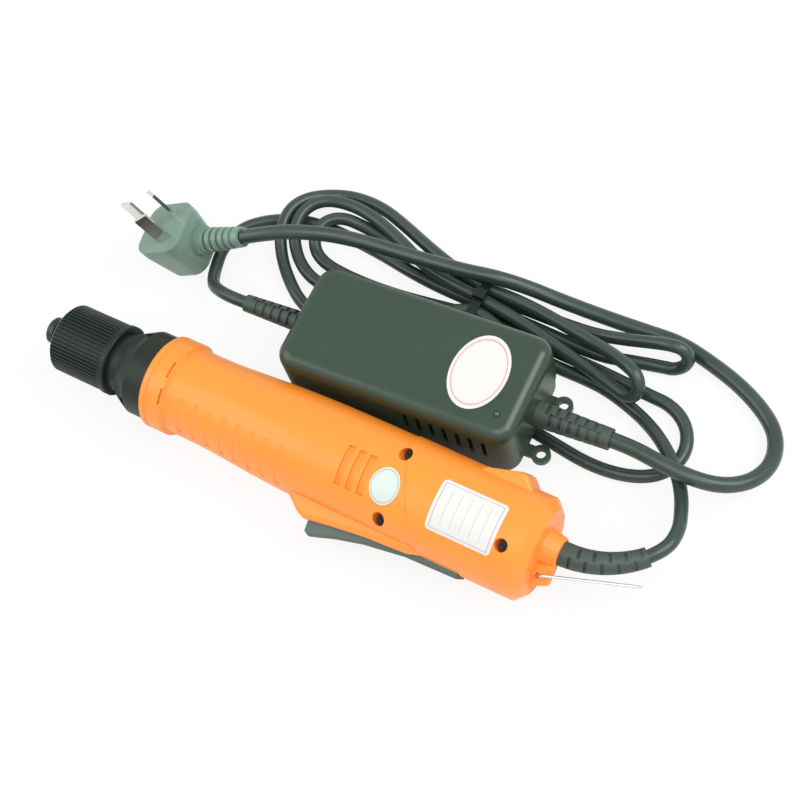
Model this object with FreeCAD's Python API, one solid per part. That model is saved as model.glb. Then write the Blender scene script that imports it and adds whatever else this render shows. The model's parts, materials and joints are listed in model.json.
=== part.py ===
"""Corded electric screwdriver with lever start, lying beside its power supply.

Millimetres. +Z is up, the spindle runs along X with the bit end at -X, and the
power supply lies on the +Y side. The origin is on the floor, under the centre
of the box around the screwdriver and its power supply.

The screwdriver is drawn in its own axes: x runs along the spindle from the
front rim of the housing towards the cord, y towards the side opposite the
lever, z towards the middle of the half shell that carries the screw holes.
"""
import FreeCAD
import Part
import math
import os

from FreeCAD import Vector

# Places of the two housings on the floor
TOOL_X = -83.0
TOOL_Y = -23.5
TOOL_ROLL = 20.0
SUPPLY_X = 19.3
SUPPLY_Y = 29.8
SUPPLY_TURN = 3.3

# Clearances
RUN_FIT = 0.05
SLIDE_FIT = 0.15
SEAT_FIT = 0.02
MOVE_GAP = 0.3

# Housing of the screwdriver
BODY_LENGTH = 187.0
WALL = 2.2
RIM_RADIUS = 21.9
RIM_LENGTH = 12.4
RIM_CHAMFER = 0.9
RIM_GROOVE_AT = 3.0
RIM_GROOVE_WIDTH = 1.2
RIM_GROOVE_DEPTH = 0.4
WAIST_RADIUS = 20.2
WAIST_AT = 30.0
PALM_RADIUS = 21.8
PALM_AT = 56.0
BELLY_RADIUS = 23.0
BELLY_AT = BODY_LENGTH - 65.0
TAIL_RADIUS = 22.6
SADDLE_RISE = 0.5
SADDLE_AT = BODY_LENGTH - 53.2
SADDLE_SLANT = 25.9
TAIL_BEVEL = 4.0
TAIL_FACE_RADIUS = 18.6

# Cord outlet, bail tab and bail at the tail
OUTLET_OFFSET = 3.0
OUTLET_ROOT_RADIUS = 8.2
OUTLET_RADIUS = 6.5
OUTLET_LENGTH = 7.0
TAB_REACH = 14.6
TAB_SLANT = 3.1
TAB_THICK = 5.0
TAB_EYE_AT = -9.1
TAB_EYE_BACK = 2.0
TAB_EYE_RADIUS = 1.2
BAIL_WIRE = 1.3
BAIL_REACH = 41.5
BAIL_SPREAD = 6.5
BAIL_NARROWING = 0.6
BAIL_FOOT_BEND = 2.6
BAIL_END_BEND = 1.8
BAIL_REST = 17.8

# Grip ribs, collar slots, vents and screw holes
GRIP_COUNT = 8
GRIP_FROM = 21.0
GRIP_PITCH = 7.6
GRIP_DEPTH = 0.5
GRIP_WIDTH = 3.2
GRIP_START_ANGLE = 8.0
GRIP_SWEEP = 54.0
LATCH_SLOT_AT = 10.4
LATCH_SLOT_WIDTH = 0.9
LATCH_SLOT_DEPTH = 1.2
LATCH_SLOT_LENGTH = 7.6
LATCH_SLOT_ANGLE = 17.0
VENT_COUNT = 3
VENT_FROM = BODY_LENGTH - 84.8
VENT_PITCH = 5.3
VENT_WIDTH = 3.0
VENT_DEPTH = 1.1
VENT_HALF_ANGLE = 22.5
SCREW_AT = BODY_LENGTH - 61.7
SCREW_SIDE = 14.6
TAIL_SCREW_AT = BODY_LENGTH - 8.0
TAIL_SCREW_SIDE = -3.0
SCREW_HEAD_RADIUS = 2.7
SCREW_SHANK_RADIUS = 1.4
SCREW_BOSS_RADIUS = 4.0
SCREW_HEAD_DEPTH = 9.0
SCREW_HEAD_THICK = 2.2
SCREW_BITE = 8.0
CROSS_LENGTH = 3.2
CROSS_WIDTH = 0.8
CROSS_DEPTH = 1.2

# Lever and its guard
LEVER_WIDTH = 14.0
LEVER_FRONT = BODY_LENGTH - 94.8
LEVER_PIVOT_AT = BODY_LENGTH - 29.0
LEVER_PIVOT_SIDE = -15.5
LEVER_HUB_RADIUS = 3.2
LEVER_PIN_RADIUS = 1.5
LEVER_PIN_LENGTH = 24.0
LEVER_ARM_FROM = LEVER_PIVOT_AT - 25.5
LEVER_REAR = LEVER_PIVOT_AT + 4.6
LEVER_BOSS_GAP = 1.2
LEVER_SIDE_INSET = 0.6
LEVER_OUTLINE = (
    (0.8, -33.4),
    (3.4, -35.0),
    (13.1, -31.7),
    (27.4, -28.2),
    (46.5, -25.4),
)
LEVER_TAIL_SIDE = -24.6
LEVER_LIP_OUTLINE = (
    (0.3, -18.7),
    (-3.6, -18.7),
    (-3.6, -16.9),
    (4.0, -16.9),
)
LEVER_ROUND = 1.6
LEVER_ROUND_BEYOND = -24.0
LEVER_SPRING_AT = LEVER_FRONT + 13.8
LEVER_SPRING_LENGTH = 6.6
LEVER_SPRING_RADIUS = 2.2
LEVER_SPRING_WIRE = 0.6
LEVER_SPRING_TURNS = 4.0
GUARD_HALF_WIDTH = 11.0
GUARD_OUTLINE = (
    (-16.2, -18.0),
    (-12.2, -21.6),
    (-5.2, -27.2),
    (-1.6, -28.7),
    (-0.2, -28.7),
    (13.8, -26.6),
    (26.8, -25.0),
    (47.8, -23.6),
    (59.8, -20.0),
    (59.8, -14.0),
    (-16.2, -14.0),
)
GUARD_ROUND = 3.0
GUARD_ROUND_BEYOND = -19.0

# Reversing switch
REVERSE_AT = BODY_LENGTH - 21.0
REVERSE_SLOT_LENGTH = 11.0
REVERSE_SLOT_WIDTH = 5.0
REVERSE_KNOB_LENGTH = 5.0
REVERSE_KNOB_HEIGHT = 25.2
REVERSE_KNOB_GROOVES = (-1.2, 0.0, 1.2)
REVERSE_SLOT_DEPTH = 2.0
REVERSE_BODY_LENGTH = 17.0
REVERSE_BODY_WIDTH = 8.0
REVERSE_BODY_DEPTH = 6.0
REVERSE_BODY_TOP = 19.0
REVERSE_PAD_WIDTH = 18.0
REVERSE_PAD_OUTLINE = (
    (-16.0, 16.0),
    (-9.0, 23.2),
    (5.5, 27.2),
    (7.6, 26.8),
    (12.2, 22.4),
    (12.2, 16.0),
)
REVERSE_PAD_ROUND = 1.6
REVERSE_PAD_ROUND_BEYOND = 22.0

# Start switch and circuit board
START_SWITCH_AT = LEVER_PIVOT_AT - 27.0
START_SWITCH_LENGTH = 20.0
START_SWITCH_HEIGHT = 9.5
START_SWITCH_WIDTH = 6.4
START_SWITCH_SIDE = -14.6
PLUNGER_AT = LEVER_PIVOT_AT - 22.0
PLUNGER_RADIUS = 1.2
PLUNGER_TRAVEL = 1.6
BOARD_LENGTH = 58.0
BOARD_FORWARD = 1.55
BOARD_WIDTH = 28.0
BOARD_THICK = 1.6
BOARD_SIDE = 3.0
RELAY_AT = 8.0
RELAY_LENGTH = 15.0
RELAY_WIDTH = 10.0
RELAY_HEIGHT = 5.7
CAPACITOR_AT = 31.0
CAPACITOR_RADIUS = 2.8
CAPACITOR_LENGTH = 10.0
TRANSISTOR_AT = 28.0
TRANSISTOR_LENGTH = 10.0
TRANSISTOR_WIDTH = 4.5
TRANSISTOR_HEIGHT = 4.5
RESISTOR_AT = 44.0
RESISTOR_LENGTH = 7.0
RESISTOR_RADIUS = 1.2
RESISTOR_SIDES = (-6.0, -2.0, 2.0)

# Front collar
FLANGE_LENGTH = 10.0
FLANGE_RADIUS = 20.1
FLARE_LENGTH = 8.0
FLARE_ROOT_RADIUS = 15.2
NECK_RADIUS = 14.0
NECK_LENGTH = 26.0
NECK_BORE = 12.2
SPIGOT_RADIUS = 17.8
SPIGOT_LENGTH = 10.5
RIDGE_RISE = 1.1
RIDGE_FROM = 3.5
RIDGE_WIDTH = 3.0
POCKET_COUNT = 4
POCKET_RADIUS = 6.0
POCKET_LIFT = 2.0
POCKET_FORWARD = 1.5
FLARE_ROOT_STEP = 1.4
FLANGE_EDGE_STEP = 1.4

# Torque ring, spring and washers
RING_GAP = 6.0
RING_LENGTH = 31.5
RING_RADIUS = 16.4
RING_ROOT_RADIUS = 15.8
RING_RIM_RADIUS = 16.9
RING_RIM_LENGTH = 3.2
RING_CHAMFER = 1.6
RING_FRONT_WALL = 4.5
RING_MOUTH_RADIUS = 7.2
RING_RIB_COUNT = 56
WASHER_THICK = 1.5
SPRING_RADIUS = 10.2
SPRING_WIRE = 1.8
SPRING_TURNS = 4.5

# Output spindle with its bit holder
SLEEVE_PROJECTION = 10.0
SLEEVE_RADIUS = 6.4
SLEEVE_GROOVE_RADIUS = 5.5
SLEEVE_FLANGE_LENGTH = 4.2
SLEEVE_GROOVE_LENGTH = 1.8
SLEEVE_LENGTH = 13.5
SPINDLE_RADIUS = 4.7
SPINDLE_RECESS = 0.6
BIT_HEX_ACROSS = 6.45
BIT_DEPTH = 22.0
LOCK_BALL_RADIUS = 1.25
LOCK_BALL_AT = 6.4
CLIP_THICK = 0.8
CLIP_RADIUS = 5.3
CLIP_SET_BACK = 1.0
SHOULDER_RADIUS = 6.0
SHOULDER_THICK = 2.0
RETURN_SPRING_LENGTH = 7.0
RETURN_SPRING_WIRE = 0.9
RETURN_SPRING_TURNS = 3.5

# Clutch and front bearing
HUB_RADIUS = 11.6
HUB_THICK = 4.2
CLUTCH_GAP = 0.8
CAM_THICK = 3.0
CLUTCH_BALL_RADIUS = 1.5
CLUTCH_BALL_CIRCLE = 8.4
CLUTCH_BALL_COUNT = 3
BEARING_RADIUS = 11.0
BEARING_WIDTH = 6.0
BEARING_SPLIT = 8.4
BEARING_LIP = 1.4
DRIVE_SHAFT_RADIUS = 5.0
PILOT_RADIUS = 2.5
CARRIER_INSET = 6.5
BEARING_TO_CARRIER = 5.0

# Planetary gear stage
GEAR_MODULE = 0.55
SUN_TEETH = 12
PLANET_TEETH = 18
PLANET_COUNT = 3
GEAR_WIDTH = 6.0
GEAR_BACKLASH = 0.10
GEAR_ADDENDUM = 0.8
GEAR_DEDENDUM = 1.25
PRESSURE_ANGLE = 20.0
RING_GEAR_RADIUS = 16.4
CARRIER_THICK = 3.0
CARRIER_RADIUS = 11.6
PLANET_PIN_RADIUS = 1.5
GEAR_PLATE_THICK = 3.0
GEAR_PLATE_GAP = 1.3

# Motor
MOTOR_RADIUS = 16.4
MOTOR_LENGTH = 58.0
MOTOR_WALL = 1.4
MOTOR_CAP_LENGTH = 8.0
MOTOR_BOSS_RADIUS = 6.0
MOTOR_SHAFT_RADIUS = 1.6
MAGNET_THICK = 2.8
MAGNET_SWEEP = 130.0
MAGNET_SET_BACK = 6.0
MAGNET_OVERHANG = 2.0
ARMATURE_LENGTH = 34.0
ARMATURE_SET_BACK = 8.0
ARMATURE_SLOTS = 5
ARMATURE_SLOT_WIDTH = 2.0
ARMATURE_GAP = 0.5
WINDING_LENGTH = 4.0
WINDING_STEP = 1.5
COMMUTATOR_RADIUS = 4.6
BRUSH_WIDTH = 4.0
BRUSH_GUIDE_WALL = 1.4
MOTOR_CAP_WALL = 1.8
MOTOR_CAP_GAP = 1.0
MOTOR_RIB_PLACES = (20.0, 58.0)
MOTOR_RIB_WIDTH = 2.4

# Strain reliefs and cords
OUTPUT_CORD = 6.0
MAINS_CORD = 7.0
TOOL_BOOT_BASE = 5.4
TOOL_BOOT_TIP = 4.2
TOOL_BOOT_LENGTH = 35.5
TOOL_BOOT_BEND = 46.0
SUPPLY_BOOT_LENGTH = 34.0
OUTPUT_BOOT_BASE = 5.2
OUTPUT_BOOT_TIP = 4.1
MAINS_BOOT_BASE = 5.9
MAINS_BOOT_TIP = 4.8
TOOL_BOOT_SLOT_PAIRS = 5
BOOT_FLANGE_RISE = 1.5
BOOT_FLANGE_THICK = 2.2
BOOT_RIB_COUNT = 6

# Power supply
SUPPLY_LENGTH = 114.0
SUPPLY_WIDTH = 53.6
SUPPLY_BASE_HEIGHT = 11.0
SUPPLY_COVER_HEIGHT = 25.0
SUPPLY_CORNER = 9.0
SUPPLY_EDGE = 6.0
SUPPLY_WALL = 2.0
SUPPLY_BASE_INSET = 0.8
SUPPLY_RAISE = 6.4
SUPPLY_VENT_COUNT = 7
SUPPLY_VENT_FROM = 7.5
SUPPLY_VENT_PITCH = 6.2
SUPPLY_VENT_WIDTH = 2.0
SUPPLY_VENT_HEIGHT = 13.0
LUG_REACH = 6.0
LUG_SPACING = 25.0
LUG_RADIUS = 4.3
LUG_HOLE_RADIUS = 2.2
LUG_THICK = 3.0
SUPPLY_POST_RADIUS = 3.6
LUG_ARM_WIDTH = 5.2
SUPPLY_POST_INSET = 6.8
SUPPLY_SCREW_BITE = 8.0
SUPPLY_HEAD_ROOM = 3.0
SUPPLY_BOARD_END_GAP = 8.0
SUPPLY_BOARD_SIDE_GAP = 1.4
INDICATOR_X = SUPPLY_LENGTH / 2 - 10.0
INDICATOR_Y = -SUPPLY_WIDTH / 2 + 11.6
INDICATOR_RADIUS = 1.5
INDICATOR_FLANGE_RISE = 0.5
INDICATOR_FLANGE_THICK = 3.0
INDICATOR_SINK = 0.6
OUTPUT_EXIT_SIDE = 3.0
SUPPLY_EXIT_RISE = 3.5
TRANSFORMER_LENGTH = 28.0
TRANSFORMER_WIDTH = 26.0
TRANSFORMER_HEIGHT = 20.0
TRANSFORMER_FRAME = 5.0
TRANSFORMER_YOKE = 4.0
TRANSFORMER_BULGE = 2.5
SUPPLY_CAPACITORS = (
    (30.0, 6.0, 8.0, 24.0),
    (-28.0, -8.0, 5.0, 18.0),
    (-28.0, 6.0, 5.0, 18.0),
)
HEAT_SINK_FROM = TRANSFORMER_LENGTH / 2 + 4.0
HEAT_SINK_TO = SUPPLY_LENGTH / 2 - 13.0
HEAT_SINK_SIDE = -SUPPLY_WIDTH / 2 + 9.8
HEAT_SINK_THICK = 2.0
HEAT_SINK_FOOT = 4.0
HEAT_SINK_HEIGHT = 18.0
DEVICE_LENGTH = 9.0
DEVICE_THICK = 3.5
DEVICE_INSET = 2.0
DEVICE_LOW = 4.0
DEVICE_HEIGHT = 12.0

# Plug
PLUG_X = -126.9
PLUG_Y = 43.7
PLUG_Z = 27.8
PLUG_LEAN = 24.0
PLUG_HEADING = 12.0
PLUG_LENGTH = 27.0
PLUG_WIDTH = 28.0
PLUG_BACK_SHARE = 0.82
PLUG_DEPTH = 25.0
PLUG_RIM = 5.0
PLUG_CORNER = 7.0
PLUG_CORD_DEPTH = 12.5
BLADE_WIDTH = 6.4
BLADE_THICK = 1.6
LINE_BLADE_LENGTH = 18.0
EARTH_BLADE_LENGTH = 21.0
LINE_BLADE_SPACING = 13.7
LINE_BLADE_LEAN = 30.0
EARTH_BLADE_OFFSET = 10.3
PLUG_NECK_RADIUS = 7.0
PLUG_NECK_LENGTH = 3.0
PLUG_BOOT_BASE = 6.2
PLUG_BOOT_TIP = 4.8
PLUG_BOOT_LENGTH = 24.0
PLUG_BOOT_RIBS = 5

# Stations along the spindle, worked out from the lengths above
FLANGE_FRONT = -FLANGE_LENGTH
FLARE_FRONT = FLANGE_FRONT - FLARE_LENGTH
NECK_FRONT = FLARE_FRONT - NECK_LENGTH
POCKET_AT = FLANGE_FRONT - FLARE_LENGTH / 2 - POCKET_FORWARD
RING_REAR = FLARE_FRONT - RING_GAP
RING_FRONT = RING_REAR - RING_LENGTH
SLEEVE_FRONT = RING_FRONT - SLEEVE_PROJECTION
SLEEVE_REAR = SLEEVE_FRONT + SLEEVE_LENGTH
SPINDLE_FRONT = SLEEVE_FRONT + SPINDLE_RECESS
SHOULDER_FRONT = SLEEVE_REAR + RETURN_SPRING_LENGTH
WASHER_FRONT = RING_FRONT + RING_FRONT_WALL
SPRING_FRONT = WASHER_FRONT + WASHER_THICK
CARRIER_REAR = -CARRIER_INSET
CARRIER_FRONT = CARRIER_REAR - CARRIER_THICK
BEARING_REAR = CARRIER_FRONT - BEARING_TO_CARRIER
BEARING_FRONT = BEARING_REAR - BEARING_WIDTH
CAM_REAR = BEARING_FRONT - MOVE_GAP
CAM_FRONT = CAM_REAR - CAM_THICK
HUB_REAR = CAM_FRONT - CLUTCH_GAP
HUB_FRONT = HUB_REAR - HUB_THICK
PLANET_FRONT = CARRIER_REAR + MOVE_GAP
PLANET_REAR = PLANET_FRONT + GEAR_WIDTH
GEAR_PLATE_FRONT = PLANET_REAR + GEAR_PLATE_GAP
MOTOR_FRONT = GEAR_PLATE_FRONT + GEAR_PLATE_THICK
MOTOR_CAP_FRONT = MOTOR_FRONT + MOTOR_LENGTH
MOTOR_CAP_REAR = MOTOR_CAP_FRONT + MOTOR_CAP_LENGTH
ARMATURE_FRONT = MOTOR_FRONT + ARMATURE_SET_BACK
ARMATURE_REAR = ARMATURE_FRONT + ARMATURE_LENGTH
BOARD_FROM = (MOTOR_CAP_REAR + BODY_LENGTH - BOARD_LENGTH) / 2 - BOARD_FORWARD
LEVER_INNER = -SCREW_SIDE - SCREW_BOSS_RADIUS - PLUNGER_TRAVEL - LEVER_BOSS_GAP
LEVER_PAD_SIDE = LEVER_PIVOT_SIDE - LEVER_HUB_RADIUS + 0.8
LEVER_SPRING_SHELF = LEVER_INNER + LEVER_SPRING_LENGTH
TAIL_FACE_AT = BODY_LENGTH + TAIL_BEVEL
OUTLET_END = TAIL_FACE_AT + OUTLET_LENGTH
TAB_EYE_STATION = TAIL_FACE_AT + TAB_EYE_BACK
TOOL_Z = BELLY_RADIUS + SADDLE_RISE
PLUG_NECK_END = PLUG_LENGTH / 2 + PLUG_NECK_LENGTH
RING_TEETH = SUN_TEETH + 2 * PLANET_TEETH
PLANET_ORBIT = GEAR_MODULE * (SUN_TEETH + PLANET_TEETH) / 2
SUPPLY_HEIGHT = SUPPLY_BASE_HEIGHT + SUPPLY_COVER_HEIGHT
SUPPLY_EXIT_Z = SUPPLY_BASE_HEIGHT + SUPPLY_EXIT_RISE
SUPPLY_BOOT_ROOT = SUPPLY_WALL + SUPPLY_BASE_INSET
SUPPLY_BOARD_TOP = SUPPLY_WALL + BOARD_THICK

# Cord routes on the floor, chosen point by point
OUTPUT_SUPPLY_ROUTE = (
    (-80.7, 27.0, 20.9),
    (-92.7, 29.9, 16.8),
    (-101.4, 36.0, 9.3),
    (-107.8, 44.0, 4.2),
    (-111.8, 56.0, 3.1),
    (-108.6, 69.0, 3.1),
    (-98.8, 78.8, 3.2),
    (-86.0, 85.8, 3.6),
    (-77.6, 89.6, 4.4),
)
OUTPUT_LOOP_ROUTE = (
    (105.0, 78.8, 6.0),
    (118.0, 73.5, 4.0),
    (129.5, 65.5, 3.2),
    (136.8, 54.2, 3.1),
    (136.1, 41.2, 3.1),
    (127.9, 31.1, 3.1),
    (113.5, 27.3, 3.1),
    (90.0, 27.6, 3.1),
    (52.0, 34.5, 3.1),
    (8.0, 38.0, 3.1),
    (-36.0, 38.5, 3.1),
    (-60.0, 45.0, 3.1),
    (-73.5, 54.0, 3.1),
    (-80.0, 67.0, 3.2),
    (-76.8, 81.5, 4.5),
)
OUTPUT_TOOL_ROUTE = (
    (90.0, 72.0, 4.0),
    (103.0, 66.0, 3.2),
    (115.0, 59.2, 3.4),
    (124.6, 51.4, 7.0),
    (133.0, 43.8, 10.8),
    (141.6, 34.4, 11.0),
    (147.6, 26.2, 12.2),
    (152.2, 17.6, 15.4),
    (155.6, 11.0, 20.4),
    (154.0, 1.0, 24.4),
)
MAINS_ROUTE = (
    (-75.0, 56.0, 37.2),
    (-60.6, 65.2, 38.0),
    (-40.0, 77.0, 32.6),
    (-12.0, 84.8, 24.6),
    (24.0, 92.5, 17.0),
    (47.0, 97.0, 8.0),
    (72.0, 98.5, 3.8),
    (98.0, 98.5, 3.6),
    (122.0, 97.5, 3.6),
    (143.8, 95.5, 3.6),
    (161.2, 88.1, 3.6),
    (171.7, 74.6, 3.8),
    (173.5, 57.6, 6.5),
    (166.0, 42.3, 12.0),
    (151.5, 33.2, 18.0),
    (135.0, 32.8, 19.8),
    (123.0, 35.7, 20.9),
)

# Hank of the output cord, tied at its middle
HANK_HEIGHT = 12.6
HANK_LEFT = (-62.0, 87.0)
HANK_LEFT_RADIUS = 25.0
HANK_WAIST = (23.0, 79.0)
HANK_WAIST_HALF = 10.5
HANK_RIGHT = (104.0, 77.5)
HANK_RIGHT_RADIUS = 17.0
TIE_WIDTH = 4.6
TIE_THICK = 1.3
TIE_HEAD_LENGTH = 5.0
TIE_HEAD_HEIGHT = 2.6
TIE_HEAD_OVERHANG = 0.5


def block(x0, x1, y0, y1, z0, z1):
    """Box between two corners."""
    return Part.makeBox(x1 - x0, y1 - y0, z1 - z0, Vector(x0, y0, z0))


def rod(x0, x1, radius, y=0.0, z=0.0):
    """Cylinder along the spindle direction."""
    return Part.makeCylinder(radius, x1 - x0, Vector(x0, y, z), Vector(1, 0, 0))


def tube(x0, x1, outer, inner):
    """Hollow cylinder along the spindle direction."""
    return rod(x0, x1, outer).cut(rod(x0 - 1, x1 + 1, inner))


def post(x, y, radius, z0, z1):
    """Cylinder along z."""
    return Part.makeCylinder(radius, z1 - z0, Vector(x, y, z0), Vector(0, 0, 1))


def plate_outline(points, z0, z1):
    """Prism of an outline in the xy plane between two heights."""
    corners = [Vector(x, y, z0) for x, y in points]
    face = Part.Face(Part.makePolygon(corners + corners[:1]))
    return face.extrude(Vector(0, 0, z1 - z0))


def turned(points):
    """Solid of revolution about the spindle axis from (x, radius) points."""
    corners = [Vector(x, r, 0) for x, r in points]
    face = Part.Face(Part.makePolygon(corners + corners[:1]))
    return face.revolve(Vector(0, 0, 0), Vector(1, 0, 0), 360)


def fused(shapes):
    """One solid from shapes that touch or overlap."""
    first = shapes[0]
    return first.fuse(list(shapes[1:])).removeSplitter()


def fillet_where(shape, radius, chosen):
    """Round the edges whose middle point satisfies the test."""
    edges = [e for e in shape.Edges if chosen(e.valueAt((e.FirstParameter + e.LastParameter) / 2))]
    return shape.makeFillet(radius, edges)


def around_spindle(shape, angle):
    """Copy turned about the spindle axis."""
    copy = shape.copy()
    copy.rotate(Vector(0, 0, 0), Vector(1, 0, 0), angle)
    return copy


def coil_spring(x0, length, mean_radius, wire, turns):
    """Open coil of square wire along the spindle direction."""
    pitch = (length - wire) / turns
    helix = Part.makeHelix(pitch, pitch * turns, mean_radius)
    half = wire / 2
    corners = [
        Vector(mean_radius - half, 0, -half),
        Vector(mean_radius + half, 0, -half),
        Vector(mean_radius + half, 0, half),
        Vector(mean_radius - half, 0, half),
    ]
    section = Part.makePolygon(corners + corners[:1])
    coil = Part.Wire(helix).makePipeShell([section], True, True)
    coil.rotate(Vector(0, 0, 0), Vector(0, 1, 0), 90)
    coil.translate(Vector(x0 + half, 0, 0))
    return coil


def in_tool(shape):
    """Carry a piece of the screwdriver from its own axes to the floor."""
    placed = shape.copy()
    placed.rotate(Vector(0, 0, 0), Vector(1, 0, 0), TOOL_ROLL)
    placed.translate(Vector(TOOL_X, TOOL_Y, TOOL_Z))
    return placed


def in_supply(shape):
    """Carry a piece of the power supply from its own axes to the floor."""
    placed = shape.copy()
    placed.rotate(Vector(0, 0, 0), Vector(0, 0, 1), SUPPLY_TURN)
    placed.translate(Vector(SUPPLY_X, SUPPLY_Y, SUPPLY_RAISE))
    return placed


# Housing of the screwdriver


def body_curve(offset):
    """Outline of the body from the rim step to the tail, moved in by an offset."""
    start = Vector(RIM_LENGTH, WAIST_RADIUS - offset, 0)
    waist = Vector(WAIST_AT, WAIST_RADIUS - offset, 0)
    palm = Vector(PALM_AT, PALM_RADIUS - offset, 0)
    belly = Vector(BELLY_AT, BELLY_RADIUS - offset, 0)
    tail = Vector(BODY_LENGTH, TAIL_RADIUS - offset, 0)
    curve = Part.BSplineCurve()
    curve.interpolate([start, waist, palm, belly, tail])
    return curve, start, tail


def body_solid(offset, end_trim):
    """Body of revolution behind the rim, its wall moved in by an offset."""
    curve, start, tail = body_curve(offset)
    bevel_end = Vector(TAIL_FACE_AT - end_trim, TAIL_FACE_RADIUS - offset, 0)
    axis_end = Vector(TAIL_FACE_AT - end_trim, 0, 0)
    axis_start = Vector(RIM_LENGTH, 0, 0)
    edges = [
        curve.toShape(),
        Part.LineSegment(tail, bevel_end).toShape(),
        Part.LineSegment(bevel_end, axis_end).toShape(),
        Part.LineSegment(axis_end, axis_start).toShape(),
        Part.LineSegment(axis_start, start).toShape(),
    ]
    face = Part.Face(Part.Wire(edges))
    return face.revolve(Vector(0, 0, 0), Vector(1, 0, 0), 360)


def rim_solid():
    """Front rim with its rounded lip and parting groove."""
    lip = RIM_RADIUS - RIM_CHAMFER
    groove_end = RIM_GROOVE_AT + RIM_GROOVE_WIDTH
    slope = RIM_GROOVE_WIDTH / 4
    points = [
        (0, 0),
        (0, lip),
        (RIM_CHAMFER, RIM_RADIUS),
        (RIM_GROOVE_AT, RIM_RADIUS),
        (RIM_GROOVE_AT + slope, RIM_RADIUS - RIM_GROOVE_DEPTH),
        (groove_end - slope, RIM_RADIUS - RIM_GROOVE_DEPTH),
        (groove_end, RIM_RADIUS),
        (RIM_LENGTH - 1.0, RIM_RADIUS),
        (RIM_LENGTH + 0.4, WAIST_RADIUS),
        (RIM_LENGTH + 0.4, 0),
    ]
    return turned(points)


def saddle_solid():
    """Rear part of the body, raised a little behind a slanting step."""
    rear = body_solid(-SADDLE_RISE, 0)
    keep = block(0, 2 * BODY_LENGTH, -60, 60, -60, 60)
    keep.rotate(Vector(0, 0, 0), Vector(0, 0, 1), SADDLE_SLANT)
    keep.translate(Vector(SADDLE_AT, 0, 0))
    return rear.common(keep)


def guard_solid():
    """Raised guard in front of and beside the lever."""
    outline = [(LEVER_FRONT + behind, side) for behind, side in GUARD_OUTLINE]
    pad = plate_outline(outline, -GUARD_HALF_WIDTH, GUARD_HALF_WIDTH)

    def long_top_edge(middle):
        return abs(abs(middle.z) - GUARD_HALF_WIDTH) < 0.01 and middle.y < GUARD_ROUND_BEYOND

    return fillet_where(pad, GUARD_ROUND, long_top_edge)


def reverse_pad_solid():
    """Ramp that shields the reversing switch on the side opposite the lever."""
    outline = [(REVERSE_AT + behind, side) for behind, side in REVERSE_PAD_OUTLINE]
    half = REVERSE_PAD_WIDTH / 2
    pad = plate_outline(outline, -half, half)

    def long_top_edge(middle):
        return abs(abs(middle.z) - half) < 0.01 and middle.y > REVERSE_PAD_ROUND_BEYOND

    return fillet_where(pad, REVERSE_PAD_ROUND, long_top_edge)


def outlet_solid():
    """Cord outlet boss and the tab for the bail on the tail face."""
    root = Vector(TAIL_FACE_AT, OUTLET_OFFSET, 0)
    boss = Part.makeCone(OUTLET_ROOT_RADIUS, OUTLET_RADIUS, OUTLET_LENGTH, root, Vector(1, 0, 0))
    end = [e for e in boss.Edges if abs(e.CenterOfMass.x - OUTLET_END) < 0.01]
    boss = boss.makeFillet(0.8, end)
    stub = rod(TAIL_FACE_AT - WALL, TAIL_FACE_AT + 1.0, OUTLET_ROOT_RADIUS - 1.0, OUTLET_OFFSET)
    tab_outline = [
        (TAIL_FACE_AT - WALL, OUTLET_OFFSET - 2.0),
        (TAIL_FACE_AT - WALL, -TAB_REACH),
        (TAIL_FACE_AT, -TAB_REACH),
        (OUTLET_END, -TAB_REACH + TAB_SLANT),
        (OUTLET_END, OUTLET_OFFSET - OUTLET_RADIUS),
        (OUTLET_END - 1.0, OUTLET_OFFSET - 2.0),
    ]
    tab = plate_outline(tab_outline, -TAB_THICK / 2, TAB_THICK / 2)
    return boss.fuse(stub), tab


def grip_grooves():
    """Shallow hollows between the grip ribs, on both sides near the lever."""
    half = GRIP_WIDTH / 2
    cuts = []
    for index in range(GRIP_COUNT):
        at = GRIP_FROM + index * GRIP_PITCH
        surface = body_radius(at)
        above = surface + 2.0
        corners = [
            Vector(at - half, 0, above),
            Vector(at - half, 0, surface + 0.05),
            Vector(at, 0, surface - GRIP_DEPTH),
            Vector(at + half, 0, surface + 0.05),
            Vector(at + half, 0, above),
        ]
        face = Part.Face(Part.makePolygon(corners + corners[:1]))
        for side in (1, -1):
            turned_face = face.copy()
            start = GRIP_START_ANGLE if side == 1 else 180 - GRIP_START_ANGLE - GRIP_SWEEP
            turned_face.rotate(Vector(0, 0, 0), Vector(1, 0, 0), start)
            cuts.append(turned_face.revolve(Vector(0, 0, 0), Vector(1, 0, 0), GRIP_SWEEP))
    return cuts


def body_radius(at):
    """Radius of the body at a station behind the rim."""
    curve = body_curve(0)[0]
    low = curve.FirstParameter
    high = curve.LastParameter
    for _ in range(40):
        middle = (low + high) / 2
        if curve.value(middle).x < at:
            low = middle
        else:
            high = middle
    return curve.value((low + high) / 2).y


def vent_recesses():
    """Curved hollows in the side wall near the motor, one row per half shell."""
    cuts = []
    for index in range(VENT_COUNT):
        at = VENT_FROM + index * VENT_PITCH
        floor = body_radius(at) - VENT_DEPTH
        ring = tube(at, at + VENT_WIDTH, floor + 5.0, floor)
        deep = 2 * floor
        reach = deep * math.tan(math.radians(VENT_HALF_ANGLE))
        for side in (1, -1):
            window = plate_outline([(0, 0), (deep, -reach), (deep, reach)], at - 1, at + VENT_WIDTH + 1)
            window.rotate(Vector(0, 0, 0), Vector(0, 1, 0), 90)
            window.rotate(Vector(0, 0, 0), Vector(1, 0, 0), 0 if side == -1 else 180)
            cuts.append(ring.common(window))
    return cuts


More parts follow.
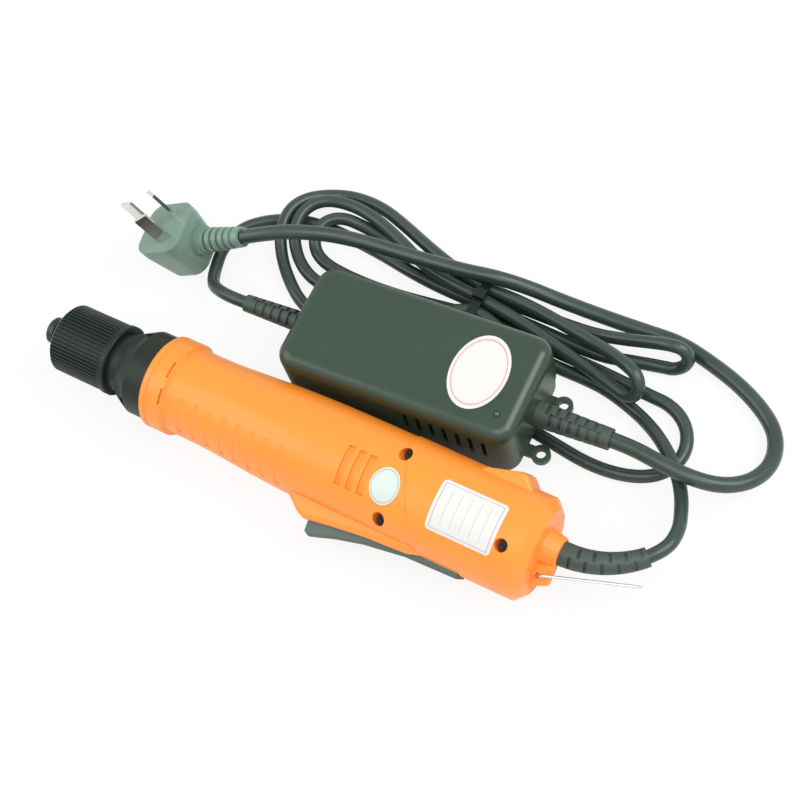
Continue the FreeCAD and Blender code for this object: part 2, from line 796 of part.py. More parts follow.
def latch_slots():
    """Narrow slots in the rim through which the collar's latches are freed."""
    ring = tube(
        LATCH_SLOT_AT, LATCH_SLOT_AT + LATCH_SLOT_WIDTH, RIM_RADIUS + 3.0, RIM_RADIUS - LATCH_SLOT_DEPTH
    )
    cuts = []
    half = LATCH_SLOT_LENGTH / 2
    far = 180.0 - LATCH_SLOT_ANGLE
    for angle in (LATCH_SLOT_ANGLE, -LATCH_SLOT_ANGLE, far, -far):
        wedge = block(0, RIM_LENGTH + 2.0, -half, half, 0, RIM_RADIUS + 5.0)
        cuts.append(ring.common(around_spindle(wedge, angle)))
    return cuts


def cavity_solid():
    """Hollow inside the housing: collar seat, motor room and tail room."""
    seat = turned(
        [
            (-1.0, 0),
            (-1.0, SPIGOT_RADIUS + SEAT_FIT),
            (RIDGE_FROM - SEAT_FIT, SPIGOT_RADIUS + SEAT_FIT),
            (RIDGE_FROM - SEAT_FIT, SPIGOT_RADIUS + RIDGE_RISE + SEAT_FIT),
            (RIDGE_FROM + RIDGE_WIDTH + SEAT_FIT, SPIGOT_RADIUS + RIDGE_RISE + SEAT_FIT),
            (RIDGE_FROM + RIDGE_WIDTH + SEAT_FIT, SPIGOT_RADIUS + SEAT_FIT),
            (RIM_LENGTH + 1.0, SPIGOT_RADIUS + SEAT_FIT),
            (RIM_LENGTH + 1.0, 0),
        ]
    )
    room = body_solid(WALL, WALL)
    return seat.fuse(room)


def screw_bosses():
    """Bosses that carry the housing screws."""
    bosses = []
    for at, side in screw_places():
        depth = body_radius(at)
        boss = post(at, side, SCREW_BOSS_RADIUS, -depth, depth)
        bosses.append(boss)
    return bosses


def screw_places():
    """Stations and side offsets of the three housing screws."""
    return ((SCREW_AT, SCREW_SIDE), (SCREW_AT, -SCREW_SIDE), (TAIL_SCREW_AT, TAIL_SCREW_SIDE))


def screw_seat_height(at, side):
    """Height of a screw head's seat above the parting plane."""
    surface = math.sqrt(body_radius(at) ** 2 - side ** 2)
    return surface - SCREW_HEAD_DEPTH


def screw_holes():
    """Head recess and shank hole of each housing screw."""
    cuts = []
    for at, side in screw_places():
        seat = screw_seat_height(at, side)
        cuts.append(post(at, side, SCREW_HEAD_RADIUS + SLIDE_FIT, seat, 2 * BELLY_RADIUS))
        cuts.append(post(at, side, SCREW_SHANK_RADIUS + SEAT_FIT, -SCREW_BITE - 1.0, seat + 1.0))
    return cuts


def motor_ribs():
    """Rings inside the housing that hold the motor."""
    ribs = []
    for at in MOTOR_RIB_PLACES:
        reach = body_radius(at) - WALL / 2
        ribs.append(tube(at, at + MOTOR_RIB_WIDTH, reach, MOTOR_RADIUS + SEAT_FIT))
    return ribs


def switch_posts():
    """Posts that clamp the start switch and the reversing switch."""
    posts = []
    side = START_SWITCH_SIDE + 1.5
    for at in (START_SWITCH_AT + 3.0, START_SWITCH_AT + START_SWITCH_LENGTH - 5.0):
        reach = math.sqrt(body_radius(at) ** 2 - side ** 2) - WALL / 2
        for sign in (1, -1):
            low = sign * START_SWITCH_WIDTH / 2
            high = sign * reach
            posts.append(block(at, at + 3.0, side, side + 5.0, min(low, high), max(low, high)))
    side = REVERSE_BODY_TOP - REVERSE_BODY_DEPTH + 1.0
    start = REVERSE_AT - REVERSE_BODY_LENGTH / 2
    for at in (start + 1.0, start + REVERSE_BODY_LENGTH - 4.0):
        reach = math.sqrt(body_radius(at) ** 2 - side ** 2) - WALL / 2
        for sign in (1, -1):
            low = sign * REVERSE_BODY_WIDTH / 2
            high = sign * reach
            posts.append(block(at, at + 3.0, side, side + 4.0, min(low, high), max(low, high)))
    return posts


def board_rails():
    """Slotted blocks that hold the edges of the circuit board."""
    rails = []
    for at in (BOARD_FROM + 4.0, BOARD_FROM + BOARD_LENGTH - 8.0):
        for sign in (1, -1):
            near = sign * (BOARD_WIDTH / 2 - 2.0)
            far = sign * (body_radius(at) - WALL * 0.75)
            low = min(near, far)
            high = max(near, far)
            rail = block(at, at + 4.0, BOARD_SIDE - 2.0, BOARD_SIDE + BOARD_THICK + 2.0, low, high)
            slot_half = BOARD_WIDTH / 2 + SEAT_FIT
            slot = block(
                at - 1, at + 5.0, BOARD_SIDE - SEAT_FIT, BOARD_SIDE + BOARD_THICK + SEAT_FIT,
                -slot_half, slot_half
            )
            rails.append(rail.cut(slot))
    return rails


def pin_bosses():
    """Bosses for the ends of the lever pin."""
    bosses = []
    near = LEVER_WIDTH / 2 + SLIDE_FIT
    radius = LEVER_HUB_RADIUS
    reach = math.sqrt(body_radius(LEVER_PIVOT_AT) ** 2 - LEVER_PIVOT_SIDE ** 2) - WALL / 2
    bosses.append(post(LEVER_PIVOT_AT, LEVER_PIVOT_SIDE, radius, near, reach))
    bosses.append(post(LEVER_PIVOT_AT, LEVER_PIVOT_SIDE, radius, -reach, -near))
    return bosses


def lever_slot():
    """Opening in the housing for the lever."""
    half = LEVER_WIDTH / 2 + MOVE_GAP
    top = -SCREW_SIDE - SCREW_BOSS_RADIUS - MOVE_GAP
    return plate_outline(
        [
            (LEVER_FRONT - 0.7, top),
            (LEVER_FRONT - 1.6, -2 * BELLY_RADIUS),
            (LEVER_REAR + 0.8, -2 * BELLY_RADIUS),
            (LEVER_REAR + 0.8, top),
        ],
        -half,
        half,
    )


def reverse_slot():
    """Opening in the housing for the knob of the reversing switch."""
    half_length = REVERSE_SLOT_LENGTH / 2
    half_width = REVERSE_SLOT_WIDTH / 2 + MOVE_GAP
    return block(
        REVERSE_AT - half_length, REVERSE_AT + half_length,
        REVERSE_BODY_TOP - 1.0, 2 * BELLY_RADIUS, -half_width, half_width
    )


def reverse_body_room():
    """Hollow under the ramp for the body of the reversing switch."""
    half_length = REVERSE_BODY_LENGTH / 2
    half_width = REVERSE_BODY_WIDTH / 2
    return block(
        REVERSE_AT - half_length, REVERSE_AT + half_length,
        0, REVERSE_BODY_TOP, -half_width, half_width
    )


def boot_seat():
    """Hole through the tail wall and the outlet boss for the root of the boot."""
    return rod(TAIL_FACE_AT - 10.0, OUTLET_END + 1.0, TOOL_BOOT_BASE + SEAT_FIT, OUTLET_OFFSET)


def tab_eye():
    """Hole in the tab for the bail."""
    return post(TAB_EYE_STATION, TAB_EYE_AT, TAB_EYE_RADIUS, -TAB_THICK, TAB_THICK)


def housing_solid():
    """Whole housing before it is parted into its two half shells."""
    boss, tab = outlet_solid()
    outside = fused(
        [
            rim_solid(),
            body_solid(0, 0),
            saddle_solid(),
            guard_solid(),
            reverse_pad_solid(),
            boss,
            tab,
        ]
    )
    inside = cavity_solid()
    wall = outside.cut(inside)
    fittings = fused(
        screw_bosses() + motor_ribs() + switch_posts() + board_rails() + pin_bosses() + [spring_shelf()]
    )
    fittings = fittings.common(outside)
    whole = wall.fuse(fittings)
    cuts = grip_grooves() + vent_recesses() + latch_slots() + screw_holes()
    cuts += [lever_slot(), reverse_slot(), reverse_body_room(), boot_seat(), tab_eye(), lever_pin(SEAT_FIT)]
    return whole.cut(cuts)


def half_shells(housing):
    """Housing parted at the plane z = 0."""
    reach = 2 * BODY_LENGTH
    above = block(-20.0, reach, -60.0, 60.0, 0, 60.0)
    below = block(-20.0, reach, -60.0, 60.0, -60.0, 0)
    return housing.common(above), housing.common(below)


def cross_recess(x, y, z0, z1):
    """Two crossing slots of a screw head between two heights."""
    long_half = CROSS_LENGTH / 2
    short_half = CROSS_WIDTH / 2
    return [
        block(x - short_half, x + short_half, y - long_half, y + long_half, z0, z1),
        block(x - long_half, x + long_half, y - short_half, y + short_half, z0, z1),
    ]


def housing_screws():
    """Three screws that close the housing."""
    screws = []
    for at, side in screw_places():
        seat = screw_seat_height(at, side)
        top = seat + SCREW_HEAD_THICK
        head = post(at, side, SCREW_HEAD_RADIUS, seat, top)
        shank = post(at, side, SCREW_SHANK_RADIUS, -SCREW_BITE, seat)
        screws.append(head.fuse(shank).cut(cross_recess(at, side, top - CROSS_DEPTH, top + 1.0)))
    return Part.makeCompound(screws)


# Front collar, torque ring and spring


def nose_collar():
    """Collar with threaded neck, flared flange and the spigot held in the rim."""
    outside = turned(
        [
            (NECK_FRONT, 0),
            (NECK_FRONT, NECK_RADIUS - 0.6),
            (NECK_FRONT + 0.6, NECK_RADIUS),
            (FLARE_FRONT, NECK_RADIUS),
            (FLARE_FRONT, FLARE_ROOT_RADIUS),
            (FLARE_FRONT + 1.0, FLARE_ROOT_RADIUS + FLARE_ROOT_STEP),
            (FLANGE_FRONT - 3.0, FLANGE_RADIUS - FLANGE_EDGE_STEP),
            (FLANGE_FRONT, FLANGE_RADIUS),
            (0, FLANGE_RADIUS),
            (0, SPIGOT_RADIUS),
            (RIDGE_FROM, SPIGOT_RADIUS),
            (RIDGE_FROM, SPIGOT_RADIUS + RIDGE_RISE),
            (RIDGE_FROM + RIDGE_WIDTH, SPIGOT_RADIUS + RIDGE_RISE),
            (RIDGE_FROM + RIDGE_WIDTH, SPIGOT_RADIUS),
            (SPIGOT_LENGTH, SPIGOT_RADIUS),
            (SPIGOT_LENGTH, 0),
        ]
    )
    inside = turned(
        [
            (NECK_FRONT - 1.0, 0),
            (NECK_FRONT - 1.0, NECK_BORE),
            (BEARING_FRONT, NECK_BORE),
            (BEARING_FRONT, BEARING_RADIUS + SEAT_FIT),
            (BEARING_REAR, BEARING_RADIUS + SEAT_FIT),
            (BEARING_REAR, BEARING_RADIUS - BEARING_LIP),
            (CARRIER_FRONT - 1.0, BEARING_RADIUS - BEARING_LIP),
            (CARRIER_FRONT - 1.0, RING_GEAR_RADIUS + SEAT_FIT),
            (SPIGOT_LENGTH + 1.0, RING_GEAR_RADIUS + SEAT_FIT),
            (SPIGOT_LENGTH + 1.0, 0),
        ]
    )
    collar = outside.cut(inside)
    cuts = []
    for index in range(POCKET_COUNT):
        angle = 360.0 / POCKET_COUNT * (index + 0.5)
        start = Vector(POCKET_AT, -POCKET_RADIUS, FLANGE_RADIUS + POCKET_LIFT)
        pocket = Part.makeCylinder(POCKET_RADIUS, 2 * POCKET_RADIUS, start, Vector(0, 1, 0))
        cuts.append(around_spindle(pocket, angle))
    return collar.cut(cuts)


def ribbed_outline(count, outer, inner):
    """Closed outline of a straight-ribbed ring, seen along the spindle."""
    points = []
    step = 2 * math.pi / count
    shares = ((-0.26, outer), (0.26, outer), (0.38, inner), (0.62, inner))
    for index in range(count):
        for share, radius in shares:
            angle = (index + share) * step
            points.append(Vector(0, radius * math.cos(angle), radius * math.sin(angle)))
    return Part.Face(Part.makePolygon(points + points[:1]))


def torque_ring():
    """Ribbed ring that screws along the neck to set the torque."""
    ribbed = ribbed_outline(RING_RIB_COUNT, RING_RADIUS, RING_ROOT_RADIUS)
    ribbed.translate(Vector(RING_FRONT, 0, 0))
    grip = ribbed.extrude(Vector(RING_LENGTH - RING_RIM_LENGTH, 0, 0))
    chamfer = turned(
        [
            (RING_FRONT, 0),
            (RING_FRONT, RING_RADIUS - RING_CHAMFER),
            (RING_FRONT + RING_CHAMFER, RING_RADIUS + 0.1),
            (RING_REAR, RING_RADIUS + 0.1),
            (RING_REAR, 0),
        ]
    )
    rim_front = RING_REAR - RING_RIM_LENGTH
    rim = turned(
        [
            (rim_front, 0),
            (rim_front, RING_RIM_RADIUS - 0.4),
            (rim_front + 0.4, RING_RIM_RADIUS),
            (RING_REAR - 0.6, RING_RIM_RADIUS),
            (RING_REAR, RING_RIM_RADIUS - 0.6),
            (RING_REAR, 0),
        ]
    )
    solid = grip.common(chamfer).fuse(rim)
    mouth = rod(RING_FRONT - 1.0, WASHER_FRONT + 1.0, RING_MOUTH_RADIUS)
    bore = rod(WASHER_FRONT, RING_REAR + 1.0, NECK_RADIUS + RUN_FIT)
    return solid.cut([mouth, bore]).removeSplitter()


def pressure_washer():
    """Washer between the ring's front wall and the torque spring."""
    return tube(WASHER_FRONT, SPRING_FRONT, NECK_RADIUS - SLIDE_FIT, RING_MOUTH_RADIUS)


def torque_spring():
    """Coil spring that loads the clutch."""
    length = HUB_FRONT - SPRING_FRONT
    return coil_spring(SPRING_FRONT, length, SPRING_RADIUS, SPRING_WIRE, SPRING_TURNS)


# Output spindle, bit holder and clutch


def output_spindle():
    """Spindle with its hexagon socket, shoulder and rear pilot."""
    body = rod(SPINDLE_FRONT, CAM_FRONT, SPINDLE_RADIUS)
    shoulder = rod(SHOULDER_FRONT, SHOULDER_FRONT + SHOULDER_THICK, SHOULDER_RADIUS)
    pilot = rod(CAM_FRONT, BEARING_REAR, PILOT_RADIUS)
    spindle = fused([body, shoulder, pilot])
    corner = BIT_HEX_ACROSS / math.sqrt(3)
    points = []
    for index in range(6):
        angle = math.radians(60 * index)
        points.append(Vector(SPINDLE_FRONT - 1.0, corner * math.cos(angle), corner * math.sin(angle)))
    socket = Part.Face(Part.makePolygon(points + points[:1])).extrude(Vector(BIT_DEPTH + 1.0, 0, 0))
    ball_hole = post(SPINDLE_FRONT + LOCK_BALL_AT, 0, LOCK_BALL_RADIUS + RUN_FIT, 0, SPINDLE_RADIUS + 1.0)
    clip_front = SPINDLE_FRONT + CLIP_SET_BACK
    groove = tube(clip_front, clip_front + CLIP_THICK, SPINDLE_RADIUS + 1.0, SPINDLE_RADIUS - 0.5)
    return spindle.cut([socket, ball_hole, groove])


def lock_ball():
    """Ball that holds the bit."""
    at = SPINDLE_FRONT + LOCK_BALL_AT
    return Part.makeSphere(LOCK_BALL_RADIUS, Vector(at, 0, SPINDLE_RADIUS - LOCK_BALL_RADIUS))


def sleeve_clip():
    """Open clip in the spindle groove that keeps the sleeve on."""
    front = SPINDLE_FRONT + CLIP_SET_BACK
    ring = tube(front, front + CLIP_THICK, CLIP_RADIUS, SPINDLE_RADIUS - 0.5)
    gap = block(front - 1.0, front + 2.0, -1.0, 1.0, 0, CLIP_RADIUS + 1.0)
    return ring.cut(gap)


def bit_sleeve():
    """Sprung sleeve that frees the bit when it is pushed towards the body."""
    flange_end = SLEEVE_FRONT + SLEEVE_FLANGE_LENGTH
    groove_end = flange_end + SLEEVE_GROOVE_LENGTH
    outside = turned(
        [
            (SLEEVE_FRONT, 0),
            (SLEEVE_FRONT, SLEEVE_RADIUS - 0.8),
            (SLEEVE_FRONT + 0.8, SLEEVE_RADIUS),
            (flange_end - 0.4, SLEEVE_RADIUS),
            (flange_end, SLEEVE_GROOVE_RADIUS),
            (groove_end, SLEEVE_GROOVE_RADIUS),
            (groove_end + 0.4, SLEEVE_RADIUS - 0.3),
            (SLEEVE_REAR, SLEEVE_RADIUS - 0.3),
            (SLEEVE_REAR, 0),
        ]
    )
    bore = rod(SLEEVE_FRONT - 1.0, SLEEVE_REAR + 1.0, SPINDLE_RADIUS + RUN_FIT)
    stop = SPINDLE_FRONT + CLIP_SET_BACK + CLIP_THICK
    mouth = rod(SLEEVE_FRONT - 1.0, stop, CLIP_RADIUS + SLIDE_FIT)
    return outside.cut([bore, mouth])


def return_spring():
    """Coil spring between the sleeve and the spindle's shoulder."""
    radius = SPINDLE_RADIUS + RUN_FIT + RETURN_SPRING_WIRE / 2
    return coil_spring(
        SLEEVE_REAR, RETURN_SPRING_LENGTH, radius, RETURN_SPRING_WIRE, RETURN_SPRING_TURNS
    )


def ball_places():
    """Middles of the clutch balls."""
    at = (HUB_REAR + CAM_FRONT) / 2
    places = []
    for index in range(CLUTCH_BALL_COUNT):
        angle = 2 * math.pi * index / CLUTCH_BALL_COUNT
        places.append(
            Vector(at, CLUTCH_BALL_CIRCLE * math.cos(angle), CLUTCH_BALL_CIRCLE * math.sin(angle))
        )
    return places


def clutch_balls():
    """Balls that carry the torque between the cam and the hub."""
    return Part.makeCompound([Part.makeSphere(CLUTCH_BALL_RADIUS, place) for place in ball_places()])


def ball_pockets():
    """Hollows for the clutch balls."""
    return [Part.makeSphere(CLUTCH_BALL_RADIUS + SEAT_FIT, place) for place in ball_places()]


def clutch_hub():
    """Disc on the spindle that the clutch balls drive."""
    return tube(HUB_FRONT, HUB_REAR, HUB_RADIUS, SPINDLE_RADIUS + SEAT_FIT).cut(ball_pockets())


def planet_carrier():
    """Clutch cam, drive shaft and planet plate in one piece."""
    cam = rod(CAM_FRONT, CAM_REAR, HUB_RADIUS)
    shaft = rod(CAM_REAR, CARRIER_FRONT, DRIVE_SHAFT_RADIUS)
    plate = rod(CARRIER_FRONT, CARRIER_REAR, CARRIER_RADIUS)
    pilot_hole = rod(CAM_FRONT - 1.0, BEARING_REAR + MOVE_GAP, PILOT_RADIUS + RUN_FIT)
    holes = [
        rod(CARRIER_FRONT - 1.0, CARRIER_REAR + 1.0, PLANET_PIN_RADIUS + SEAT_FIT, y, z)
        for y, z in planet_places()
    ]
    return fused([cam, shaft, plate]).cut(holes + [pilot_hole] + ball_pockets())


def planet_places():
    """Centres of the planet wheels round the spindle."""
    places = []
    for index in range(PLANET_COUNT):
        angle = 2 * math.pi * index / PLANET_COUNT
        places.append((PLANET_ORBIT * math.cos(angle), PLANET_ORBIT * math.sin(angle)))
    return places


def planet_pins():
    """Pins that the planet wheels turn on."""
    pins = [rod(CARRIER_FRONT, PLANET_REAR, PLANET_PIN_RADIUS, y, z) for y, z in planet_places()]
    return Part.makeCompound(pins)


def bearing_outer():
    """Outer race of the front bearing."""
    return tube(BEARING_FRONT, BEARING_REAR, BEARING_RADIUS, BEARING_SPLIT)


def bearing_inner():
    """Inner race of the front bearing with its shield."""
    return tube(
        BEARING_FRONT, BEARING_REAR, BEARING_SPLIT - RUN_FIT, DRIVE_SHAFT_RADIUS + SEAT_FIT
    )


# Planetary stage


def involute(angle):
    """Involute function of a pressure angle in radians."""
    return math.tan(angle) - angle


def tooth_half_angle(teeth, radius, half_at_pitch):
    """Half the angle that an involute tooth spans at a radius."""
    pitch_radius = GEAR_MODULE * teeth / 2
    pressure = math.radians(PRESSURE_ANGLE)
    base = pitch_radius * math.cos(pressure)
    reach = math.acos(min(1.0, base / max(radius, base)))
    return half_at_pitch + involute(pressure) - involute(reach)


def gear_face(teeth, radii, thickness, start_angle, y=0.0, z=0.0):
    """Toothed outline seen along the spindle, from root to tip radii."""
    pitch_radius = GEAR_MODULE * teeth / 2
    half_at_pitch = thickness / (2 * pitch_radius)
    step = 2 * math.pi / teeth
    points = []
    for index in range(teeth):
        middle = start_angle + index * step
        rising = [(-tooth_half_angle(teeth, r, half_at_pitch), r) for r in radii]
        falling = [(-angle, r) for angle, r in reversed(rising)]
        for angle, radius in rising + falling:
            turn = middle + angle
            points.append(Vector(0, y + radius * math.cos(turn), z + radius * math.sin(turn)))
    return Part.Face(Part.makePolygon(points + points[:1]))


def outer_gear(teeth, start_angle, x0, x1, y=0.0, z=0.0):
    """Straight-toothed wheel along the spindle direction."""
    pitch_radius = GEAR_MODULE * teeth / 2
    radii = (
        pitch_radius - GEAR_DEDENDUM * GEAR_MODULE,
        pitch_radius,
        pitch_radius + GEAR_ADDENDUM * GEAR_MODULE,
    )
    thickness = math.pi * GEAR_MODULE / 2 - GEAR_BACKLASH
    face = gear_face(teeth, radii, thickness, start_angle, y, z)
    face.translate(Vector(x0, 0, 0))
    return face.extrude(Vector(x1 - x0, 0, 0))


def planet_angle(place_angle):
    """Turn of a planet wheel that meshes with the sun, whose first tooth lies at 0."""
    sun_phase = place_angle * SUN_TEETH / (2 * math.pi)
    return place_angle + math.pi - (2 * math.pi / PLANET_TEETH) * (0.5 - sun_phase)


def ring_angle():
    """Turn of the ring gear that meshes with the first planet wheel."""
    planet_phase = -planet_angle(0.0) * PLANET_TEETH / (2 * math.pi)
    return -(planet_phase - 0.5) * 2 * math.pi / RING_TEETH


def ring_gear():
    """Fixed ring gear seated in the collar, with the wall that carries the motor."""
    pitch_radius = GEAR_MODULE * RING_TEETH / 2
    radii = (
        pitch_radius - GEAR_ADDENDUM * GEAR_MODULE,
        pitch_radius,
        pitch_radius + GEAR_DEDENDUM * GEAR_MODULE,
    )
    space = math.pi * GEAR_MODULE / 2 + GEAR_BACKLASH
    step = 2 * math.pi / RING_TEETH
    face = gear_face(RING_TEETH, radii, space, ring_angle() + step / 2)
    front = CARRIER_REAR - 0.2
    face.translate(Vector(front - 1.0, 0, 0))
    teeth = face.extrude(Vector(GEAR_PLATE_FRONT - front + 1.0, 0, 0))
    hole = rod(GEAR_PLATE_FRONT - 1.0, MOTOR_FRONT + 1.0, MOTOR_BOSS_RADIUS + SEAT_FIT)
    return rod(front, MOTOR_FRONT, RING_GEAR_RADIUS).cut([teeth, hole])


def planet_gear(index):
    """One planet wheel on its pin."""
    angle = 2 * math.pi * index / PLANET_COUNT
    y, z = planet_places()[index]
    wheel = outer_gear(PLANET_TEETH, planet_angle(angle), PLANET_FRONT, PLANET_REAR, y, z)
    return wheel.cut(rod(PLANET_FRONT - 1, PLANET_REAR + 1, PLANET_PIN_RADIUS + RUN_FIT, y, z))


def sun_pinion():
    """Pinion on the motor shaft."""
    wheel = outer_gear(SUN_TEETH, 0.0, PLANET_FRONT, GEAR_PLATE_FRONT - 0.4)
    return wheel.cut(rod(PLANET_FRONT - 1, GEAR_PLATE_FRONT + 1, MOTOR_SHAFT_RADIUS + SEAT_FIT))


# Motor


def motor_can():
    """Steel can with its front boss and shaft hole."""
    shell = rod(MOTOR_FRONT, MOTOR_CAP_FRONT, MOTOR_RADIUS)
    boss = rod(GEAR_PLATE_FRONT + 0.2, MOTOR_FRONT + 1.0, MOTOR_BOSS_RADIUS)
    hollow = rod(MOTOR_FRONT + MOTOR_WALL, MOTOR_CAP_FRONT + 1.0, MOTOR_RADIUS - MOTOR_WALL)
    hole = rod(GEAR_PLATE_FRONT - 1.0, MOTOR_FRONT + 3.0, MOTOR_SHAFT_RADIUS + RUN_FIT)
    return shell.fuse(boss).cut([hollow, hole])


def motor_magnets():
    """Two curved magnets against the can."""
    outer = MOTOR_RADIUS - MOTOR_WALL - SEAT_FIT
    start = MOTOR_FRONT + MAGNET_SET_BACK
    end = ARMATURE_REAR + MAGNET_OVERHANG
    corners = [
        Vector(start, outer - MAGNET_THICK, 0),
        Vector(start, outer, 0),
        Vector(end, outer, 0),
        Vector(end, outer - MAGNET_THICK, 0),
    ]
    face = Part.Face(Part.makePolygon(corners + corners[:1]))
    arcs = []
    for first in (-MAGNET_SWEEP / 2, 180 - MAGNET_SWEEP / 2):
        section = face.copy()
        section.rotate(Vector(0, 0, 0), Vector(1, 0, 0), first)
        arcs.append(section.revolve(Vector(0, 0, 0), Vector(1, 0, 0), MAGNET_SWEEP))
    return Part.makeCompound(arcs)


def armature():
    """Slotted core of the rotor."""
    radius = MOTOR_RADIUS - MOTOR_WALL - MAGNET_THICK - ARMATURE_GAP
    core = tube(ARMATURE_FRONT, ARMATURE_REAR, radius, MOTOR_SHAFT_RADIUS + SEAT_FIT)
    half = ARMATURE_SLOT_WIDTH / 2
    slots = []
    for index in range(ARMATURE_SLOTS):
        slot = block(ARMATURE_FRONT - 1, ARMATURE_REAR + 1, -half, half, radius / 2, radius + 1)
        slots.append(around_spindle(slot, 360.0 / ARMATURE_SLOTS * index))
    return core.cut(slots)


def windings():
    """End turns of the rotor winding on both sides of the core."""
    outer = MOTOR_RADIUS - MOTOR_WALL - MAGNET_THICK - ARMATURE_GAP - WINDING_STEP
    inner = MOTOR_SHAFT_RADIUS + SEAT_FIT
    front = tube(ARMATURE_FRONT - WINDING_LENGTH, ARMATURE_FRONT, outer, inner)
    rear = tube(ARMATURE_REAR, ARMATURE_REAR + WINDING_LENGTH, outer, inner)
    return Part.makeCompound([front, rear])


def commutator():
    """Commutator at the rear of the rotor."""
    start = ARMATURE_REAR + WINDING_LENGTH
    end = MOTOR_CAP_REAR - MOTOR_CAP_WALL - 1.2
    return tube(start, end, COMMUTATOR_RADIUS, MOTOR_SHAFT_RADIUS + SEAT_FIT)


def motor_shaft():
    """Shaft from the pinion to the rear bearing."""
    return rod(PLANET_FRONT, MOTOR_CAP_REAR + 1.0, MOTOR_SHAFT_RADIUS)


def motor_cap():
    """End cap with brush guides and rear bearing."""
    inside_end = MOTOR_CAP_REAR - MOTOR_CAP_WALL
    shell = rod(MOTOR_CAP_FRONT, MOTOR_CAP_REAR, MOTOR_RADIUS)
    hollow = rod(MOTOR_CAP_FRONT - 1.0, inside_end, MOTOR_RADIUS - MOTOR_CAP_WALL)
    outside = MOTOR_RADIUS - MOTOR_CAP_WALL / 2
    half = BRUSH_WIDTH / 2 + BRUSH_GUIDE_WALL
    guides = block(MOTOR_CAP_FRONT, MOTOR_CAP_REAR - MOTOR_CAP_WALL / 2, -outside, outside, -half, half)
    channel_half = BRUSH_WIDTH / 2 + SEAT_FIT
    channel_reach = MOTOR_RADIUS - MOTOR_CAP_WALL
    channel = block(
        MOTOR_CAP_FRONT - 1.0, MOTOR_CAP_FRONT + MOTOR_CAP_GAP + BRUSH_WIDTH,
        -channel_reach, channel_reach, -channel_half, channel_half
    )
    room = rod(MOTOR_CAP_FRONT - 1.0, inside_end, COMMUTATOR_RADIUS + MOTOR_CAP_GAP)
    hole = rod(MOTOR_CAP_FRONT, MOTOR_CAP_REAR + 1.0, MOTOR_SHAFT_RADIUS + RUN_FIT)
    return shell.cut(hollow).fuse(guides).cut([channel, room, hole])


def motor_brushes():
    """Two carbon brushes on the commutator."""
    front = MOTOR_CAP_FRONT + MOTOR_CAP_GAP
    half = BRUSH_WIDTH / 2
    inner = COMMUTATOR_RADIUS + RUN_FIT
    outer = MOTOR_RADIUS - MOTOR_CAP_WALL
    brushes = [
        block(front, front + BRUSH_WIDTH, inner, outer, -half, half),
        block(front, front + BRUSH_WIDTH, -outer, -inner, -half, half),
    ]
    return Part.makeCompound(brushes)


# Lever, switches and circuit board


def lever_pin(growth=0.0):
    """Pin that the lever turns on."""
    half = LEVER_PIN_LENGTH / 2 + growth
    return post(LEVER_PIVOT_AT, LEVER_PIVOT_SIDE, LEVER_PIN_RADIUS + growth, -half, half)


def switch_lever():
    """Lever with its finger face, front lip, plunger pad and hub."""
    half = LEVER_WIDTH / 2
    inner = LEVER_INNER
    hub_low = LEVER_PIVOT_SIDE - LEVER_HUB_RADIUS
    outline = [(LEVER_FRONT, inner)]
    outline += [(LEVER_FRONT + behind, side) for behind, side in LEVER_OUTLINE]
    outline += [
        (LEVER_REAR, LEVER_TAIL_SIDE),
        (LEVER_REAR, hub_low),
        (LEVER_ARM_FROM, hub_low),
        (LEVER_ARM_FROM, inner),
    ]
    blade = plate_outline(outline, -half, half)

    def finger_edge(middle):
        on_side = abs(abs(middle.z) - half) < 0.01
        return on_side and middle.y < LEVER_ROUND_BEYOND and middle.x > LEVER_FRONT + 2 * LEVER_ROUND

    blade = fillet_where(blade, LEVER_ROUND, finger_edge)
    inset = half - LEVER_SIDE_INSET
    lip_outline = [(LEVER_FRONT + behind, side) for behind, side in LEVER_LIP_OUTLINE]
    lip_outline = (
        [(lip_outline[0][0], inner - 1.0)] + lip_outline + [(lip_outline[-1][0], inner - 1.0)]
    )
    lip = plate_outline(lip_outline, -inset, inset)
    pad = block(LEVER_ARM_FROM, PLUNGER_AT + 4.0, hub_low - 1.0, LEVER_PAD_SIDE, -inset, inset)
    hub = post(LEVER_PIVOT_AT, LEVER_PIVOT_SIDE, LEVER_HUB_RADIUS, -half, half)
    neck = block(
        LEVER_PIVOT_AT - LEVER_HUB_RADIUS, LEVER_PIVOT_AT + LEVER_HUB_RADIUS,
        hub_low - 1.0, LEVER_PIVOT_SIDE, -half, half
    )
    bore = post(LEVER_PIVOT_AT, LEVER_PIVOT_SIDE, LEVER_PIN_RADIUS + RUN_FIT, -half - 1, half + 1)
    return fused([blade, lip, pad, hub, neck]).cut(bore)


def lever_spring():
    """Coil spring that returns the lever."""
    length = LEVER_SPRING_SHELF - LEVER_INNER
    coil = coil_spring(
        0, length, LEVER_SPRING_RADIUS, LEVER_SPRING_WIRE, LEVER_SPRING_TURNS
    )
    coil.rotate(Vector(0, 0, 0), Vector(0, 0, 1), 90)
    coil.translate(Vector(LEVER_SPRING_AT, LEVER_INNER, 0))
    return coil


def spring_shelf():
    """Shelf across the housing that the lever's spring rests against."""
    reach = math.sqrt(body_radius(LEVER_SPRING_AT) ** 2 - LEVER_SPRING_SHELF ** 2) - WALL / 2
    half = LEVER_SPRING_RADIUS + 1.5
    return block(
        LEVER_SPRING_AT - half, LEVER_SPRING_AT + half,
        LEVER_SPRING_SHELF, LEVER_SPRING_SHELF + 1.6, -reach, reach
    )


